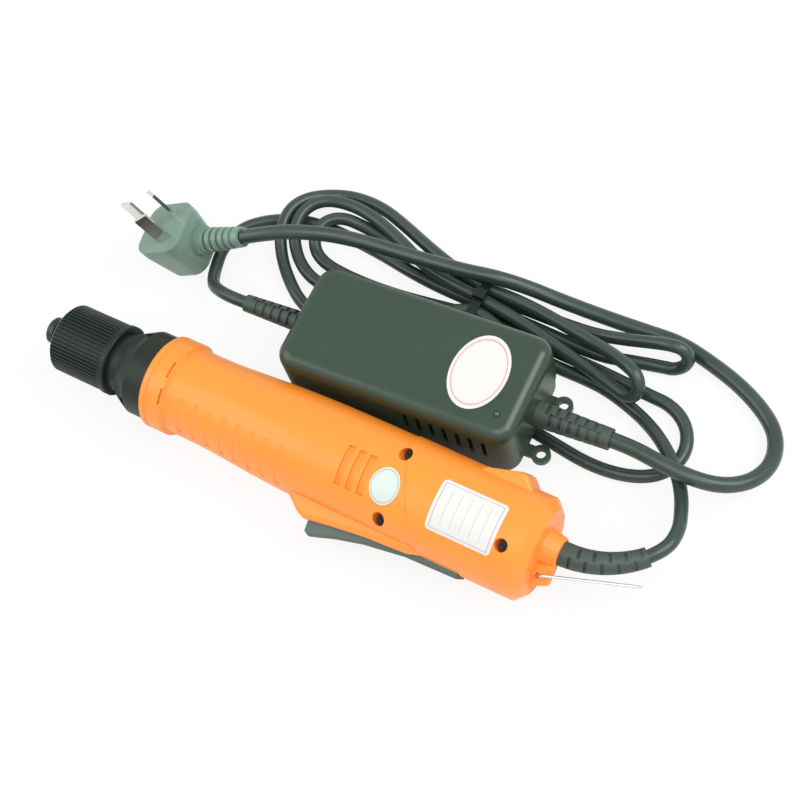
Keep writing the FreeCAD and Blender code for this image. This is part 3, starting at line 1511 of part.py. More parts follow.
def start_switch():
    """Snap switch that the lever works."""
    top = START_SWITCH_SIDE + START_SWITCH_HEIGHT
    half = START_SWITCH_WIDTH / 2
    body = block(
        START_SWITCH_AT, START_SWITCH_AT + START_SWITCH_LENGTH, START_SWITCH_SIDE, top, -half, half
    )
    shaft = Part.makeCylinder(
        PLUNGER_RADIUS + RUN_FIT, 4.0, Vector(PLUNGER_AT, START_SWITCH_SIDE - 1.0, 0), Vector(0, 1, 0)
    )
    terminals = []
    for share in (0.15, 0.5, 0.85):
        at = START_SWITCH_AT + START_SWITCH_LENGTH * share
        terminals.append(block(at - 1.5, at + 1.5, top - 0.5, top + 3.0, -0.25, 0.25))
    return fused([body] + terminals).cut(shaft)


def switch_plunger():
    """Plunger of the start switch."""
    tip = LEVER_PAD_SIDE + SLIDE_FIT
    return Part.makeCylinder(
        PLUNGER_RADIUS, START_SWITCH_SIDE + 1.2 - tip, Vector(PLUNGER_AT, tip, 0), Vector(0, 1, 0)
    )


def circuit_board():
    """Board behind the motor."""
    half = BOARD_WIDTH / 2
    return block(BOARD_FROM, BOARD_FROM + BOARD_LENGTH, BOARD_SIDE, BOARD_SIDE + BOARD_THICK, -half, half)


def board_parts():
    """Components on the board: relay, lying capacitor, transistor and resistors."""
    top = BOARD_SIDE + BOARD_THICK
    relay_from = BOARD_FROM + RELAY_AT
    relay_half = RELAY_WIDTH / 2
    relay = block(relay_from, relay_from + RELAY_LENGTH, top, top + RELAY_HEIGHT, -relay_half, relay_half)
    capacitor_from = BOARD_FROM + CAPACITOR_AT
    capacitor = rod(
        capacitor_from, capacitor_from + CAPACITOR_LENGTH, CAPACITOR_RADIUS,
        top + CAPACITOR_RADIUS, CAPACITOR_RADIUS
    )
    transistor_from = BOARD_FROM + TRANSISTOR_AT
    transistor = block(
        transistor_from, transistor_from + TRANSISTOR_LENGTH, top, top + TRANSISTOR_HEIGHT,
        -2 * TRANSISTOR_WIDTH, -TRANSISTOR_WIDTH
    )
    resistor_from = BOARD_FROM + RESISTOR_AT
    resistors = [
        rod(resistor_from, resistor_from + RESISTOR_LENGTH, RESISTOR_RADIUS, top + RESISTOR_RADIUS, offset)
        for offset in RESISTOR_SIDES
    ]
    return Part.makeCompound([relay, capacitor, transistor] + resistors)


def reverse_switch():
    """Body of the reversing switch."""
    half_length = REVERSE_BODY_LENGTH / 2
    half_width = REVERSE_BODY_WIDTH / 2
    low = REVERSE_BODY_TOP - REVERSE_BODY_DEPTH
    body = block(
        REVERSE_AT - half_length, REVERSE_AT + half_length, low, REVERSE_BODY_TOP, -half_width, half_width
    )
    slot_half = REVERSE_SLOT_LENGTH / 2
    slot = block(
        REVERSE_AT - slot_half, REVERSE_AT + slot_half, REVERSE_BODY_TOP - REVERSE_SLOT_DEPTH,
        REVERSE_BODY_TOP + 1.0, -REVERSE_SLOT_WIDTH / 2, REVERSE_SLOT_WIDTH / 2
    )
    return body.cut(slot)


def reverse_knob():
    """Knob of the reversing switch in its middle place."""
    half = REVERSE_KNOB_LENGTH / 2
    half_width = REVERSE_SLOT_WIDTH / 2 - SLIDE_FIT
    base = REVERSE_BODY_TOP - REVERSE_SLOT_DEPTH + SLIDE_FIT
    knob = block(REVERSE_AT - half, REVERSE_AT + half, base, REVERSE_KNOB_HEIGHT, -half_width, half_width)
    grooves = [
        block(
            REVERSE_AT + offset - 0.3, REVERSE_AT + offset + 0.3,
            REVERSE_KNOB_HEIGHT - 0.5, REVERSE_KNOB_HEIGHT + 1.0, -2 * half_width, 2 * half_width
        )
        for offset in REVERSE_KNOB_GROOVES
    ]
    return knob.cut(grooves)


# Bail


def bail():
    """Closed wire bail through the eye of the tab."""
    x0 = TAB_EYE_STATION
    half = BAIL_SPREAD
    end = x0 + BAIL_REACH
    narrow = half * BAIL_NARROWING
    corners = [
        Vector(x0, TAB_EYE_AT, 0),
        Vector(x0, TAB_EYE_AT, half),
        Vector(end, TAB_EYE_AT, narrow),
        Vector(end, TAB_EYE_AT, -narrow),
        Vector(x0, TAB_EYE_AT, -half),
        Vector(x0, TAB_EYE_AT, 0),
    ]
    radius = BAIL_WIRE / 2
    turns = (BAIL_FOOT_BEND, BAIL_END_BEND, BAIL_END_BEND, BAIL_FOOT_BEND)
    edges = rounded_path(corners, turns)
    section = Part.Wire(Part.Circle(corners[0], Vector(0, 0, 1), radius).toShape())
    loop = Part.Wire(edges).makePipeShell([section], True, True)
    loop.rotate(corners[0], Vector(0, 0, 1), BAIL_REST)
    return loop


def rounded_path(points, radii):
    """Straight runs joined by tangent arcs of the given radii."""
    edges = []
    start = points[0]
    for before, corner, after, radius in zip(points, points[1:], points[2:], radii):
        to_before = (before - corner).normalize()
        to_after = (after - corner).normalize()
        half = to_before.getAngle(to_after) / 2
        inset = radius / math.tan(half)
        first = corner + to_before * inset
        last = corner + to_after * inset
        inward = (to_before + to_after).normalize()
        centre = corner + inward * (radius / math.sin(half))
        middle = centre - inward * radius
        edges.append(Part.LineSegment(start, first).toShape())
        edges.append(Part.Arc(first, middle, last).toShape())
        start = last
    edges.append(Part.LineSegment(start, points[-1]).toShape())
    return edges


# Power supply


def rounded_box(length, width, height, corner, z0):
    """Box with rounded upright corners, centred on the supply's axes."""
    box = block(-length / 2, length / 2, -width / 2, width / 2, z0, z0 + height)
    upright = [e for e in box.Edges if abs(e.tangentAt(e.FirstParameter).z) > 0.9]
    return box.makeFillet(corner, upright)


def top_rounded(shape, radius, top):
    """Round the outer edges of the top face."""
    edges = [e for e in shape.Edges if all(abs(v.Z - top) < 0.01 for v in e.Vertexes)]
    return shape.makeFillet(radius, edges)


def supply_post_places():
    """Centres of the four screw posts of the power supply."""
    x = SUPPLY_LENGTH / 2 - SUPPLY_POST_INSET
    y = SUPPLY_WIDTH / 2 - SUPPLY_POST_INSET
    return ((x, y), (x, -y), (-x, y), (-x, -y))


def supply_exit_holes(growth):
    """Holes through both end walls for the two cords."""
    half = SUPPLY_LENGTH / 2
    return [
        rod(half - 6.0, half + 1.0, MAINS_BOOT_BASE + growth, 0, SUPPLY_EXIT_Z),
        rod(-half - 1.0, -half + 6.0, OUTPUT_BOOT_BASE + growth, OUTPUT_EXIT_SIDE, SUPPLY_EXIT_Z),
    ]


def supply_vents():
    """Slots through both long walls of the cover."""
    low = SUPPLY_BASE_HEIGHT + 4.0
    cuts = []
    for index in range(SUPPLY_VENT_COUNT):
        at = SUPPLY_VENT_FROM + index * SUPPLY_VENT_PITCH
        for sign in (1, -1):
            inner = sign * (SUPPLY_WIDTH / 2 - SUPPLY_WALL - 1.0)
            outer = sign * (SUPPLY_WIDTH / 2 + 1.0)
            cuts.append(
                block(
                    at - SUPPLY_VENT_WIDTH / 2, at + SUPPLY_VENT_WIDTH / 2,
                    min(inner, outer), max(inner, outer), low, low + SUPPLY_VENT_HEIGHT
                )
            )
    return cuts


def supply_cover():
    """Upper shell of the power supply."""
    outside = top_rounded(
        rounded_box(SUPPLY_LENGTH, SUPPLY_WIDTH, SUPPLY_COVER_HEIGHT, SUPPLY_CORNER, SUPPLY_BASE_HEIGHT),
        SUPPLY_EDGE,
        SUPPLY_HEIGHT,
    )
    inside = rounded_box(
        SUPPLY_LENGTH - 2 * SUPPLY_WALL, SUPPLY_WIDTH - 2 * SUPPLY_WALL,
        SUPPLY_COVER_HEIGHT - SUPPLY_WALL + 1.0, SUPPLY_CORNER - SUPPLY_WALL, SUPPLY_BASE_HEIGHT - 1.0
    )
    inside = top_rounded(inside, SUPPLY_EDGE - SUPPLY_WALL, SUPPLY_HEIGHT - SUPPLY_WALL)
    posts = [
        post(x, y, SUPPLY_POST_RADIUS, SUPPLY_BASE_HEIGHT, SUPPLY_HEIGHT - SUPPLY_WALL)
        for x, y in supply_post_places()
    ]
    deep = SUPPLY_BASE_HEIGHT + SUPPLY_SCREW_BITE + 1.0
    holes = [post(x, y, SCREW_SHANK_RADIUS + SEAT_FIT, 0, deep) for x, y in supply_post_places()]
    lens_hole = post(
        INDICATOR_X, INDICATOR_Y, INDICATOR_RADIUS + SEAT_FIT, SUPPLY_HEIGHT - 4.0, SUPPLY_HEIGHT + 1.0
    )
    shell = outside.cut(inside).fuse(posts)
    return shell.cut(holes + supply_vents() + supply_exit_holes(SEAT_FIT) + [lens_hole])


def supply_base():
    """Lower shell with its two screw lugs."""
    inset = SUPPLY_BASE_INSET
    length = SUPPLY_LENGTH - 2 * inset
    width = SUPPLY_WIDTH - 2 * inset
    outside = rounded_box(length, width, SUPPLY_BASE_HEIGHT, SUPPLY_CORNER - inset, 0)
    bottom = [e for e in outside.Edges if all(abs(v.Z) < 0.01 for v in e.Vertexes)]
    outside = outside.makeFillet(2.0, bottom)
    inside = rounded_box(
        length - 2 * SUPPLY_WALL, width - 2 * SUPPLY_WALL, SUPPLY_BASE_HEIGHT,
        SUPPLY_CORNER - inset - SUPPLY_WALL, SUPPLY_WALL
    )
    posts = [post(x, y, SUPPLY_POST_RADIUS, 0.5, SUPPLY_BASE_HEIGHT) for x, y in supply_post_places()]
    holes = []
    for x, y in supply_post_places():
        holes.append(post(x, y, SCREW_SHANK_RADIUS + SEAT_FIT, -1.0, SUPPLY_BASE_HEIGHT + 1.0))
        holes.append(post(x, y, SCREW_HEAD_RADIUS + SLIDE_FIT, -1.0, SUPPLY_HEAD_ROOM))
    lugs = []
    centre_x = SUPPLY_LENGTH / 2 + LUG_REACH
    for side in (1, -1):
        y = side * LUG_SPACING / 2
        lugs.append(post(centre_x, y, LUG_RADIUS, 0, LUG_THICK))
        low = y - LUG_ARM_WIDTH / 2
        lugs.append(block(SUPPLY_LENGTH / 2 - 4.0, centre_x, low, low + LUG_ARM_WIDTH, 0, LUG_THICK))
        holes.append(post(centre_x, y, LUG_HOLE_RADIUS, -1.0, LUG_THICK + 1.0))
    shell = fused([outside.cut(inside)] + posts + lugs)
    return shell.cut(holes + supply_exit_holes(SEAT_FIT))


def supply_screws():
    """Four screws that close the power supply from below."""
    screws = []
    for x, y in supply_post_places():
        low = SUPPLY_HEAD_ROOM - SCREW_HEAD_THICK
        head = post(x, y, SCREW_HEAD_RADIUS, low, SUPPLY_HEAD_ROOM)
        shank = post(x, y, SCREW_SHANK_RADIUS, SUPPLY_HEAD_ROOM, SUPPLY_BASE_HEIGHT + SUPPLY_SCREW_BITE)
        screws.append(head.fuse(shank).cut(cross_recess(x, y, 0, low + CROSS_DEPTH)))
    return Part.makeCompound(screws)


def supply_board():
    """Circuit board on the floor of the supply, notched round the posts."""
    half_x = SUPPLY_LENGTH / 2 - SUPPLY_WALL - SUPPLY_BOARD_END_GAP
    half_y = SUPPLY_WIDTH / 2 - SUPPLY_WALL - SUPPLY_BOARD_SIDE_GAP
    board = block(-half_x, half_x, -half_y, half_y, SUPPLY_WALL, SUPPLY_BOARD_TOP)
    notch = SUPPLY_POST_RADIUS + SEAT_FIT
    return board.cut([post(x, y, notch, 0, SUPPLY_BASE_HEIGHT) for x, y in supply_post_places()])


def supply_transformer():
    """Transformer on the supply's board: core and winding."""
    low = SUPPLY_BOARD_TOP
    half_x = TRANSFORMER_LENGTH / 2
    half_y = TRANSFORMER_WIDTH / 2
    core = block(-half_x, half_x, -half_y, half_y, low, low + TRANSFORMER_HEIGHT)
    inner_x = half_x - TRANSFORMER_FRAME
    inner_low = low + TRANSFORMER_YOKE
    inner_high = low + TRANSFORMER_HEIGHT - TRANSFORMER_YOKE
    window = block(-inner_x, inner_x, -half_y - 1, half_y + 1, inner_low, inner_high)
    reach = half_y + TRANSFORMER_BULGE
    winding = block(-inner_x, inner_x, -reach, reach, inner_low, inner_high)
    return core.cut(window).fuse(winding)


def supply_capacitors():
    """Round capacitors on the supply's board."""
    low = SUPPLY_BOARD_TOP
    cans = [post(x, y, radius, low, low + high) for x, y, radius, high in SUPPLY_CAPACITORS]
    return Part.makeCompound(cans)


def supply_heat_sink():
    """Folded heat sink with two power transistors."""
    low = SUPPLY_BOARD_TOP
    face = HEAT_SINK_SIDE + HEAT_SINK_THICK
    plate = block(HEAT_SINK_FROM, HEAT_SINK_TO, HEAT_SINK_SIDE, face, low, low + HEAT_SINK_HEIGHT)
    foot = block(HEAT_SINK_FROM, HEAT_SINK_TO, face, face + HEAT_SINK_FOOT, low, low + HEAT_SINK_THICK)
    starts = (HEAT_SINK_FROM + DEVICE_INSET, HEAT_SINK_TO - DEVICE_INSET - DEVICE_LENGTH)
    device_low = low + DEVICE_LOW
    devices = [
        block(at, at + DEVICE_LENGTH, face, face + DEVICE_THICK, device_low, device_low + DEVICE_HEIGHT)
        for at in starts
    ]
    return fused([plate, foot] + devices)


def indicator_lens():
    """Small lens in the cover, with a flange under the cover's top wall."""
    under = SUPPLY_HEIGHT - SUPPLY_WALL
    low = under - INDICATOR_FLANGE_THICK
    top = SUPPLY_HEIGHT - INDICATOR_SINK
    stem = post(INDICATOR_X, INDICATOR_Y, INDICATOR_RADIUS, low, top)
    dome = Part.makeSphere(INDICATOR_RADIUS, Vector(INDICATOR_X, INDICATOR_Y, top))
    flange = post(INDICATOR_X, INDICATOR_Y, INDICATOR_RADIUS + INDICATOR_FLANGE_RISE, low, under)
    return fused([stem, dome, flange])


# Strain reliefs


def ribbed_boot(length, base, tip, cord):
    """Straight tapering strain relief along +x with staggered slots and a cord hole."""
    root = SUPPLY_BOOT_ROOT
    flange = rod(-root - BOOT_FLANGE_THICK, -root, base + BOOT_FLANGE_RISE)
    neck = rod(-root, 0, base)
    cone = Part.makeCone(base, tip, length, Vector(0, 0, 0), Vector(1, 0, 0))
    boot = fused([flange, neck, cone])
    pitch = (length - 8.0) / BOOT_RIB_COUNT
    cuts = [rod(-root - BOOT_FLANGE_THICK - 1.0, length + 1.0, cord / 2 + SEAT_FIT)]
    for index in range(BOOT_RIB_COUNT):
        at = 4.5 + index * pitch
        core = cord / 2 + 0.7
        ring = tube(at, at + 1.6, base + 2.0, core)
        shifted = tube(at + pitch / 2, at + pitch / 2 + 1.6, base + 2.0, core)
        cuts.append(ring.common(block(at - 1, at + 3, -1.4, 1.4 + base, 0.9, base + 2)))
        cuts.append(ring.common(block(at - 1, at + 3, -1.4 - base, 1.4, -base - 2, -0.9)))
        cuts.append(shifted.common(block(at, at + pitch + 2, -1.4 - base, 1.4 - 2.0, 0.9, base + 2)))
        cuts.append(shifted.common(block(at, at + pitch + 2, -1.4 + 2.0, 1.4 + base, -base - 2, -0.9)))
    return boot.cut(cuts)


def mains_boot():
    """Strain relief of the mains cord on the power supply."""
    boot = ribbed_boot(SUPPLY_BOOT_LENGTH, MAINS_BOOT_BASE, MAINS_BOOT_TIP, MAINS_CORD)
    boot.translate(Vector(SUPPLY_LENGTH / 2, 0, SUPPLY_EXIT_Z))
    return boot


def output_boot():
    """Strain relief of the output cord on the power supply."""
    boot = ribbed_boot(SUPPLY_BOOT_LENGTH, OUTPUT_BOOT_BASE, OUTPUT_BOOT_TIP, OUTPUT_CORD)
    boot.rotate(Vector(0, 0, 0), Vector(0, 0, 1), 180)
    boot.translate(Vector(-SUPPLY_LENGTH / 2, OUTPUT_EXIT_SIDE, SUPPLY_EXIT_Z))
    return boot


def tool_boot_bend_radius():
    """Radius of the bent axis of the screwdriver's strain relief."""
    return TOOL_BOOT_LENGTH / math.radians(TOOL_BOOT_BEND)


def tool_boot_point(share):
    """Place and heading on the bent axis, measured from the outlet's end face."""
    angle = math.radians(TOOL_BOOT_BEND) * share
    radius = tool_boot_bend_radius()
    place = Vector(radius * math.sin(angle), radius * (1 - math.cos(angle)), 0)
    heading = Vector(math.cos(angle), math.sin(angle), 0)
    return place, heading


def tool_outlet_centre():
    """Middle of the outlet's end face on the floor axes."""
    marker = Part.Vertex(Vector(OUTLET_END, OUTLET_OFFSET, 0))
    return in_tool(marker).Point


def tool_boot():
    """Bent strain relief of the screwdriver's cord, on the floor axes."""
    start, first = tool_boot_point(0)
    middle = tool_boot_point(0.5)[0]
    end, last = tool_boot_point(1)
    axis = Part.Wire(Part.Arc(start, middle, end).toShape())
    base = Part.Wire(Part.Circle(start, first, TOOL_BOOT_BASE).toShape())
    tip = Part.Wire(Part.Circle(end, last, TOOL_BOOT_TIP).toShape())
    taper = axis.makePipeShell([base, tip], True, False)
    wall = OUTLET_LENGTH + WALL
    root = rod(-wall, 0, TOOL_BOOT_BASE)
    flange = rod(-wall - BOOT_FLANGE_THICK, -wall, TOOL_BOOT_BASE + BOOT_FLANGE_RISE)
    bore_start = rod(-wall - BOOT_FLANGE_THICK - 1.0, 0, OUTPUT_CORD / 2 + SEAT_FIT)
    cord_ring = Part.Wire(Part.Circle(start, first, OUTPUT_CORD / 2 + SEAT_FIT).toShape())
    bore = axis.makePipeShell([cord_ring], True, False)
    boot = fused([taper, root, flange]).cut([bore_start, bore])
    boot = boot.cut(tool_boot_slots())
    boot.translate(tool_outlet_centre())
    return boot


def tool_boot_slots():
    """Two staggered rows of slots above and below the bent axis, front and back."""
    cuts = []
    core = OUTPUT_CORD / 2 + 0.7
    step = 1.0 / (2 * TOOL_BOOT_SLOT_PAIRS + 1.2)
    for index in range(2 * TOOL_BOOT_SLOT_PAIRS):
        place, heading = tool_boot_point((index + 1.4) * step)
        ring = tube(-0.65, 0.65, TOOL_BOOT_BASE + 2.0, core)
        if index % 2:
            window = block(-1, 1, 0.3, TOOL_BOOT_BASE + 3.0, -TOOL_BOOT_BASE - 3.0, TOOL_BOOT_BASE + 3.0)
        else:
            window = block(-1, 1, -TOOL_BOOT_BASE - 3.0, -0.3, -TOOL_BOOT_BASE - 3.0, TOOL_BOOT_BASE + 3.0)
        spine = block(-1, 1, -TOOL_BOOT_BASE - 3.0, TOOL_BOOT_BASE + 3.0, -0.9, 0.9)
        slot = ring.common(window).cut(spine)
        slot.rotate(Vector(0, 0, 0), Vector(1, 0, 0), TOOL_ROLL)
        slot.rotate(Vector(0, 0, 0), Vector(0, 0, 1), math.degrees(math.atan2(heading.y, heading.x)))
        slot.translate(place)
        cuts.append(slot)
    return cuts


# Plug


def in_plug(shape):
    """Carry a piece of the plug, pins along +z and cord along +x, to the floor."""
    placed = shape.copy()
    placed.rotate(Vector(0, 0, 0), Vector(0, 1, 0), -PLUG_LEAN)
    placed.rotate(Vector(0, 0, 0), Vector(0, 0, 1), PLUG_HEADING)
    placed.translate(Vector(PLUG_X, PLUG_Y, PLUG_Z))
    return placed


def plug_body():
    """Moulded body with its ribbed strain relief in one piece."""
    sections = []
    back = PLUG_BACK_SHARE
    for share, z in ((1.0, 0.0), (1.0, -PLUG_RIM), (back, -PLUG_DEPTH)):
        sections.append(rounded_outline(PLUG_LENGTH * share, PLUG_WIDTH * share, PLUG_CORNER, z))
    rim = Part.makeLoft(sections[:2], True, True)
    taper = Part.makeLoft(sections[1:], True, True)
    back_edges = [e for e in taper.Edges if all(abs(v.Z + PLUG_DEPTH) < 0.01 for v in e.Vertexes)]
    taper = taper.makeFillet(2.0, back_edges)
    start = PLUG_LENGTH / 2 - 3.0
    neck = rod(start, PLUG_NECK_END, PLUG_NECK_RADIUS, 0, -PLUG_CORD_DEPTH)
    relief = Part.makeCone(
        PLUG_BOOT_BASE, PLUG_BOOT_TIP, PLUG_BOOT_LENGTH,
        Vector(PLUG_NECK_END, 0, -PLUG_CORD_DEPTH), Vector(1, 0, 0)
    )
    core = MAINS_CORD / 2 + 0.8
    pitch = PLUG_BOOT_LENGTH / (PLUG_BOOT_RIBS + 1)
    cuts = []
    for index in range(PLUG_BOOT_RIBS):
        at = PLUG_NECK_END + (index + 0.7) * pitch
        groove = rod(at, at + 1.6, PLUG_BOOT_BASE + 2.0, 0, -PLUG_CORD_DEPTH)
        cuts.append(groove.cut(rod(at - 1, at + 3, core, 0, -PLUG_CORD_DEPTH)))
    cord_hole = rod(
        PLUG_LENGTH / 2 - 4.0, PLUG_NECK_END + PLUG_BOOT_LENGTH + 1.0,
        MAINS_CORD / 2 + SEAT_FIT, 0, -PLUG_CORD_DEPTH
    )
    pockets = [pin.common(block(-20, 20, -20, 20, -8.0, 0.0)) for pin in blade_solids()]
    return fused([rim, taper, neck, relief]).cut(cuts + pockets + [cord_hole])


def rounded_outline(length, width, corner, z):
    """Rectangular outline with rounded corners at a height."""
    box = block(-length / 2, length / 2, -width / 2, width / 2, z, z + 1.0)
    upright = [e for e in box.Edges if abs(e.tangentAt(e.FirstParameter).z) > 0.9]
    rounded = box.makeFillet(corner, upright)
    bottom = [f for f in rounded.Faces if abs(f.CenterOfMass.z - z) < 0.01][0]
    return bottom.OuterWire


def blade(length, x, y, lean):
    """Flat pin, turned about its own axis."""
    half_width = BLADE_WIDTH / 2
    half_thick = BLADE_THICK / 2
    pin = block(-half_width, half_width, -half_thick, half_thick, -6.0, length)
    pin.rotate(Vector(0, 0, 0), Vector(0, 0, 1), lean)
    pin.translate(Vector(x, y, 0))
    return pin


def blade_solids():
    """Two slanting line pins and the longer earth pin."""
    line_x = 3.5
    half_spacing = LINE_BLADE_SPACING / 2
    return [
        blade(LINE_BLADE_LENGTH, line_x, half_spacing, -LINE_BLADE_LEAN),
        blade(LINE_BLADE_LENGTH, line_x, -half_spacing, LINE_BLADE_LEAN),
        blade(EARTH_BLADE_LENGTH, line_x - EARTH_BLADE_OFFSET, 0, 0),
    ]


# Cords


def cord_radii(points):
    """Arc radius at each inner point of a route."""
    radii = []
    for before, corner, after in zip(points, points[1:], points[2:]):
        shorter = min((corner - before).Length, (after - corner).Length)
        turn = (corner - before).getAngle(after - corner)
        radii.append(0.45 * shorter / math.tan(turn / 2))
    return radii


def cord_tube(points, diameter):
    """Round cord along straight runs and tangent arcs."""
    edges = rounded_path(points, cord_radii(points))
    heading = (points[1] - points[0]).normalize()
    section = Part.Wire(Part.Circle(points[0], heading, diameter / 2).toShape())
    return Part.Wire(edges).makePipeShell([section], True, False)


def vectors(route):
    """Route as vectors."""
    return [Vector(*point) for point in route]


def output_exit():
    """Tip of the power supply's output boot on the floor axes."""
    tip = Vector(-SUPPLY_LENGTH / 2 - SUPPLY_BOOT_LENGTH, OUTPUT_EXIT_SIDE, SUPPLY_EXIT_Z)
    return in_supply(Part.Vertex(tip)).Point


def mains_exit():
    """Tip of the power supply's mains boot on the floor axes."""
    tip = Vector(SUPPLY_LENGTH / 2 + SUPPLY_BOOT_LENGTH, 0, SUPPLY_EXIT_Z)
    return in_supply(Part.Vertex(tip)).Point


def plug_exit():
    """Tip of the plug's strain relief on the floor axes."""
    tip = Vector(PLUG_NECK_END + PLUG_BOOT_LENGTH, 0, -PLUG_CORD_DEPTH)
    return in_plug(Part.Vertex(tip)).Point


def tool_exit():
    """Tip of the screwdriver's strain relief on the floor axes."""
    return tool_boot_point(1)[0] + tool_outlet_centre()


def output_lead_supply_end():
    """Output cord from the power supply to the hank."""
    return cord_tube([output_exit()] + vectors(OUTPUT_SUPPLY_ROUTE), OUTPUT_CORD)


def output_lead_loop():
    """Loop of the output cord that runs under the power supply."""
    return cord_tube(vectors(OUTPUT_LOOP_ROUTE), OUTPUT_CORD)


def output_lead_tool_end():
    """Output cord from the hank to the screwdriver."""
    return cord_tube(vectors(OUTPUT_TOOL_ROUTE) + [tool_exit()], OUTPUT_CORD)


def mains_lead():
    """Mains cord from the plug to the power supply."""
    return cord_tube([plug_exit()] + vectors(MAINS_ROUTE) + [mains_exit()], MAINS_CORD)


def hank_outline():
    """Outline of the tied hank seen from above: two rounded ends and a waist."""
    left_x, left_y = HANK_LEFT
    right_x, right_y = HANK_RIGHT
    waist_x, waist_y = HANK_WAIST
    high = HANK_WAIST_HALF
    left_top = Vector(left_x, left_y + HANK_LEFT_RADIUS, 0)
    left_far = Vector(left_x - HANK_LEFT_RADIUS, left_y, 0)
    left_low = Vector(left_x, left_y - HANK_LEFT_RADIUS, 0)
    right_top = Vector(right_x, right_y + HANK_RIGHT_RADIUS, 0)
    right_far = Vector(right_x + HANK_RIGHT_RADIUS, right_y, 0)
    right_low = Vector(right_x, right_y - HANK_RIGHT_RADIUS, 0)
    along = TIE_WIDTH
    waist_top = [Vector(waist_x - along, waist_y + high, 0), Vector(waist_x + along, waist_y + high, 0)]
    waist_low = [Vector(waist_x + along, waist_y - high, 0), Vector(waist_x - along, waist_y - high, 0)]
    edges = [
        Part.Arc(left_low, left_far, left_top).toShape(),
        Part.LineSegment(left_top, waist_top[0]).toShape(),
        Part.LineSegment(waist_top[0], waist_top[1]).toShape(),
        Part.LineSegment(waist_top[1], right_top).toShape(),
        Part.Arc(right_top, right_far, right_low).toShape(),
        Part.LineSegment(right_low, waist_low[0]).toShape(),
        Part.LineSegment(waist_low[0], waist_low[1]).toShape(),
        Part.LineSegment(waist_low[1], left_low).toShape(),
    ]
    return Part.Wire(edges)


def output_lead_hank():
    """Outer shape of the tied loops of the output cord."""
    slab = Part.Face(hank_outline()).extrude(Vector(0, 0, HANK_HEIGHT))
    x, y = HANK_WAIST
    half = TIE_WIDTH / 2 + SLIDE_FIT
    deep = TIE_THICK + SLIDE_FIT
    reach = 2 * HANK_WAIST_HALF
    around = block(x - half, x + half, y - reach, y + reach, -1, HANK_HEIGHT + 1)
    kept = block(
        x - half - 1, x + half + 1, y - HANK_WAIST_HALF + deep, y + HANK_WAIST_HALF - deep,
        deep, HANK_HEIGHT - deep
    )
    return slab.cut(around.cut(kept))


def cable_tie():
    """Tie pulled tight round the hank, with its head on top."""
    x, y = HANK_WAIST
    half = TIE_WIDTH / 2
    outer = block(x - half, x + half, y - HANK_WAIST_HALF, y + HANK_WAIST_HALF, 0, HANK_HEIGHT)
    deep = TIE_THICK
    inner = block(
        x - half - 1, x + half + 1, y - HANK_WAIST_HALF + deep, y + HANK_WAIST_HALF - deep,
        deep, HANK_HEIGHT - deep
    )
    head_half_x = half + TIE_HEAD_OVERHANG
    head_half_y = TIE_HEAD_LENGTH / 2
    head = block(
        x - head_half_x, x + head_half_x, y - head_half_y, y + head_half_y,
        HANK_HEIGHT, HANK_HEIGHT + TIE_HEAD_HEIGHT
    )
    return outer.cut(inner).fuse(head).removeSplitter()


# Assembly


def tool_nodes():
    """Pieces of the screwdriver in its own axes."""
    upper, lower = half_shells(housing_solid())
    nodes = {
        "screw_side_shell": upper,
        "plain_side_shell": lower,
        "housing_screws": housing_screws(),
        "nose_collar": nose_collar(),
        "torque_ring": torque_ring(),
        "pressure_washer": pressure_washer(),
        "torque_spring": torque_spring(),
        "output_spindle": output_spindle(),
        "lock_ball": lock_ball(),
        "sleeve_clip": sleeve_clip(),
        "bit_sleeve": bit_sleeve(),
        "return_spring": return_spring(),
        "clutch_hub": clutch_hub(),
        "clutch_balls": clutch_balls(),
        "planet_carrier": planet_carrier(),
        "planet_pins": planet_pins(),
        "bearing_outer_race": bearing_outer(),
        "bearing_inner_race": bearing_inner(),
        "ring_gear": ring_gear(),
        "sun_pinion": sun_pinion(),
        "motor_can": motor_can(),
        "motor_magnets": motor_magnets(),
        "motor_cap": motor_cap(),
        "motor_brushes": motor_brushes(),
        "motor_shaft": motor_shaft(),
        "armature": armature(),
        "windings": windings(),
        "commutator": commutator(),
        "switch_lever": switch_lever(),
        "lever_spring": lever_spring(),
        "lever_pin": lever_pin(),
        "start_switch": start_switch(),
        "switch_plunger": switch_plunger(),
        "circuit_board": circuit_board(),
        "board_parts": board_parts(),
        "reverse_switch": reverse_switch(),
        "reverse_knob": reverse_knob(),
        "bail": bail(),
    }
    for index in range(PLANET_COUNT):
        nodes["planet_gear_%d" % (index + 1)] = planet_gear(index)
    return nodes


def supply_nodes():
    """Pieces of the power supply in its own axes."""
    return {
        "supply_cover": supply_cover(),
        "supply_base": supply_base(),
        "supply_screws": supply_screws(),
        "supply_board": supply_board(),
        "supply_transformer": supply_transformer(),
        "supply_capacitors": supply_capacitors(),
        "supply_heat_sink": supply_heat_sink(),
        "indicator_lens": indicator_lens(),
        "mains_boot": mains_boot(),
        "output_boot": output_boot(),
    }


def plug_nodes():
    """Pieces of the plug in its own axes."""
    return {
        "plug_body": plug_body(),
        "plug_pins": Part.makeCompound(blade_solids()),
    }


def floor_nodes():
    """Pieces drawn where they lie."""
    return {
        "tool_boot": tool_boot(),
        "output_lead_supply_end": output_lead_supply_end(),
        "output_lead_loop": output_lead_loop(),
        "output_lead_tool_end": output_lead_tool_end(),
        "output_lead_hank": output_lead_hank(),
        "cable_tie": cable_tie(),
        "mains_lead": mains_lead(),
    }


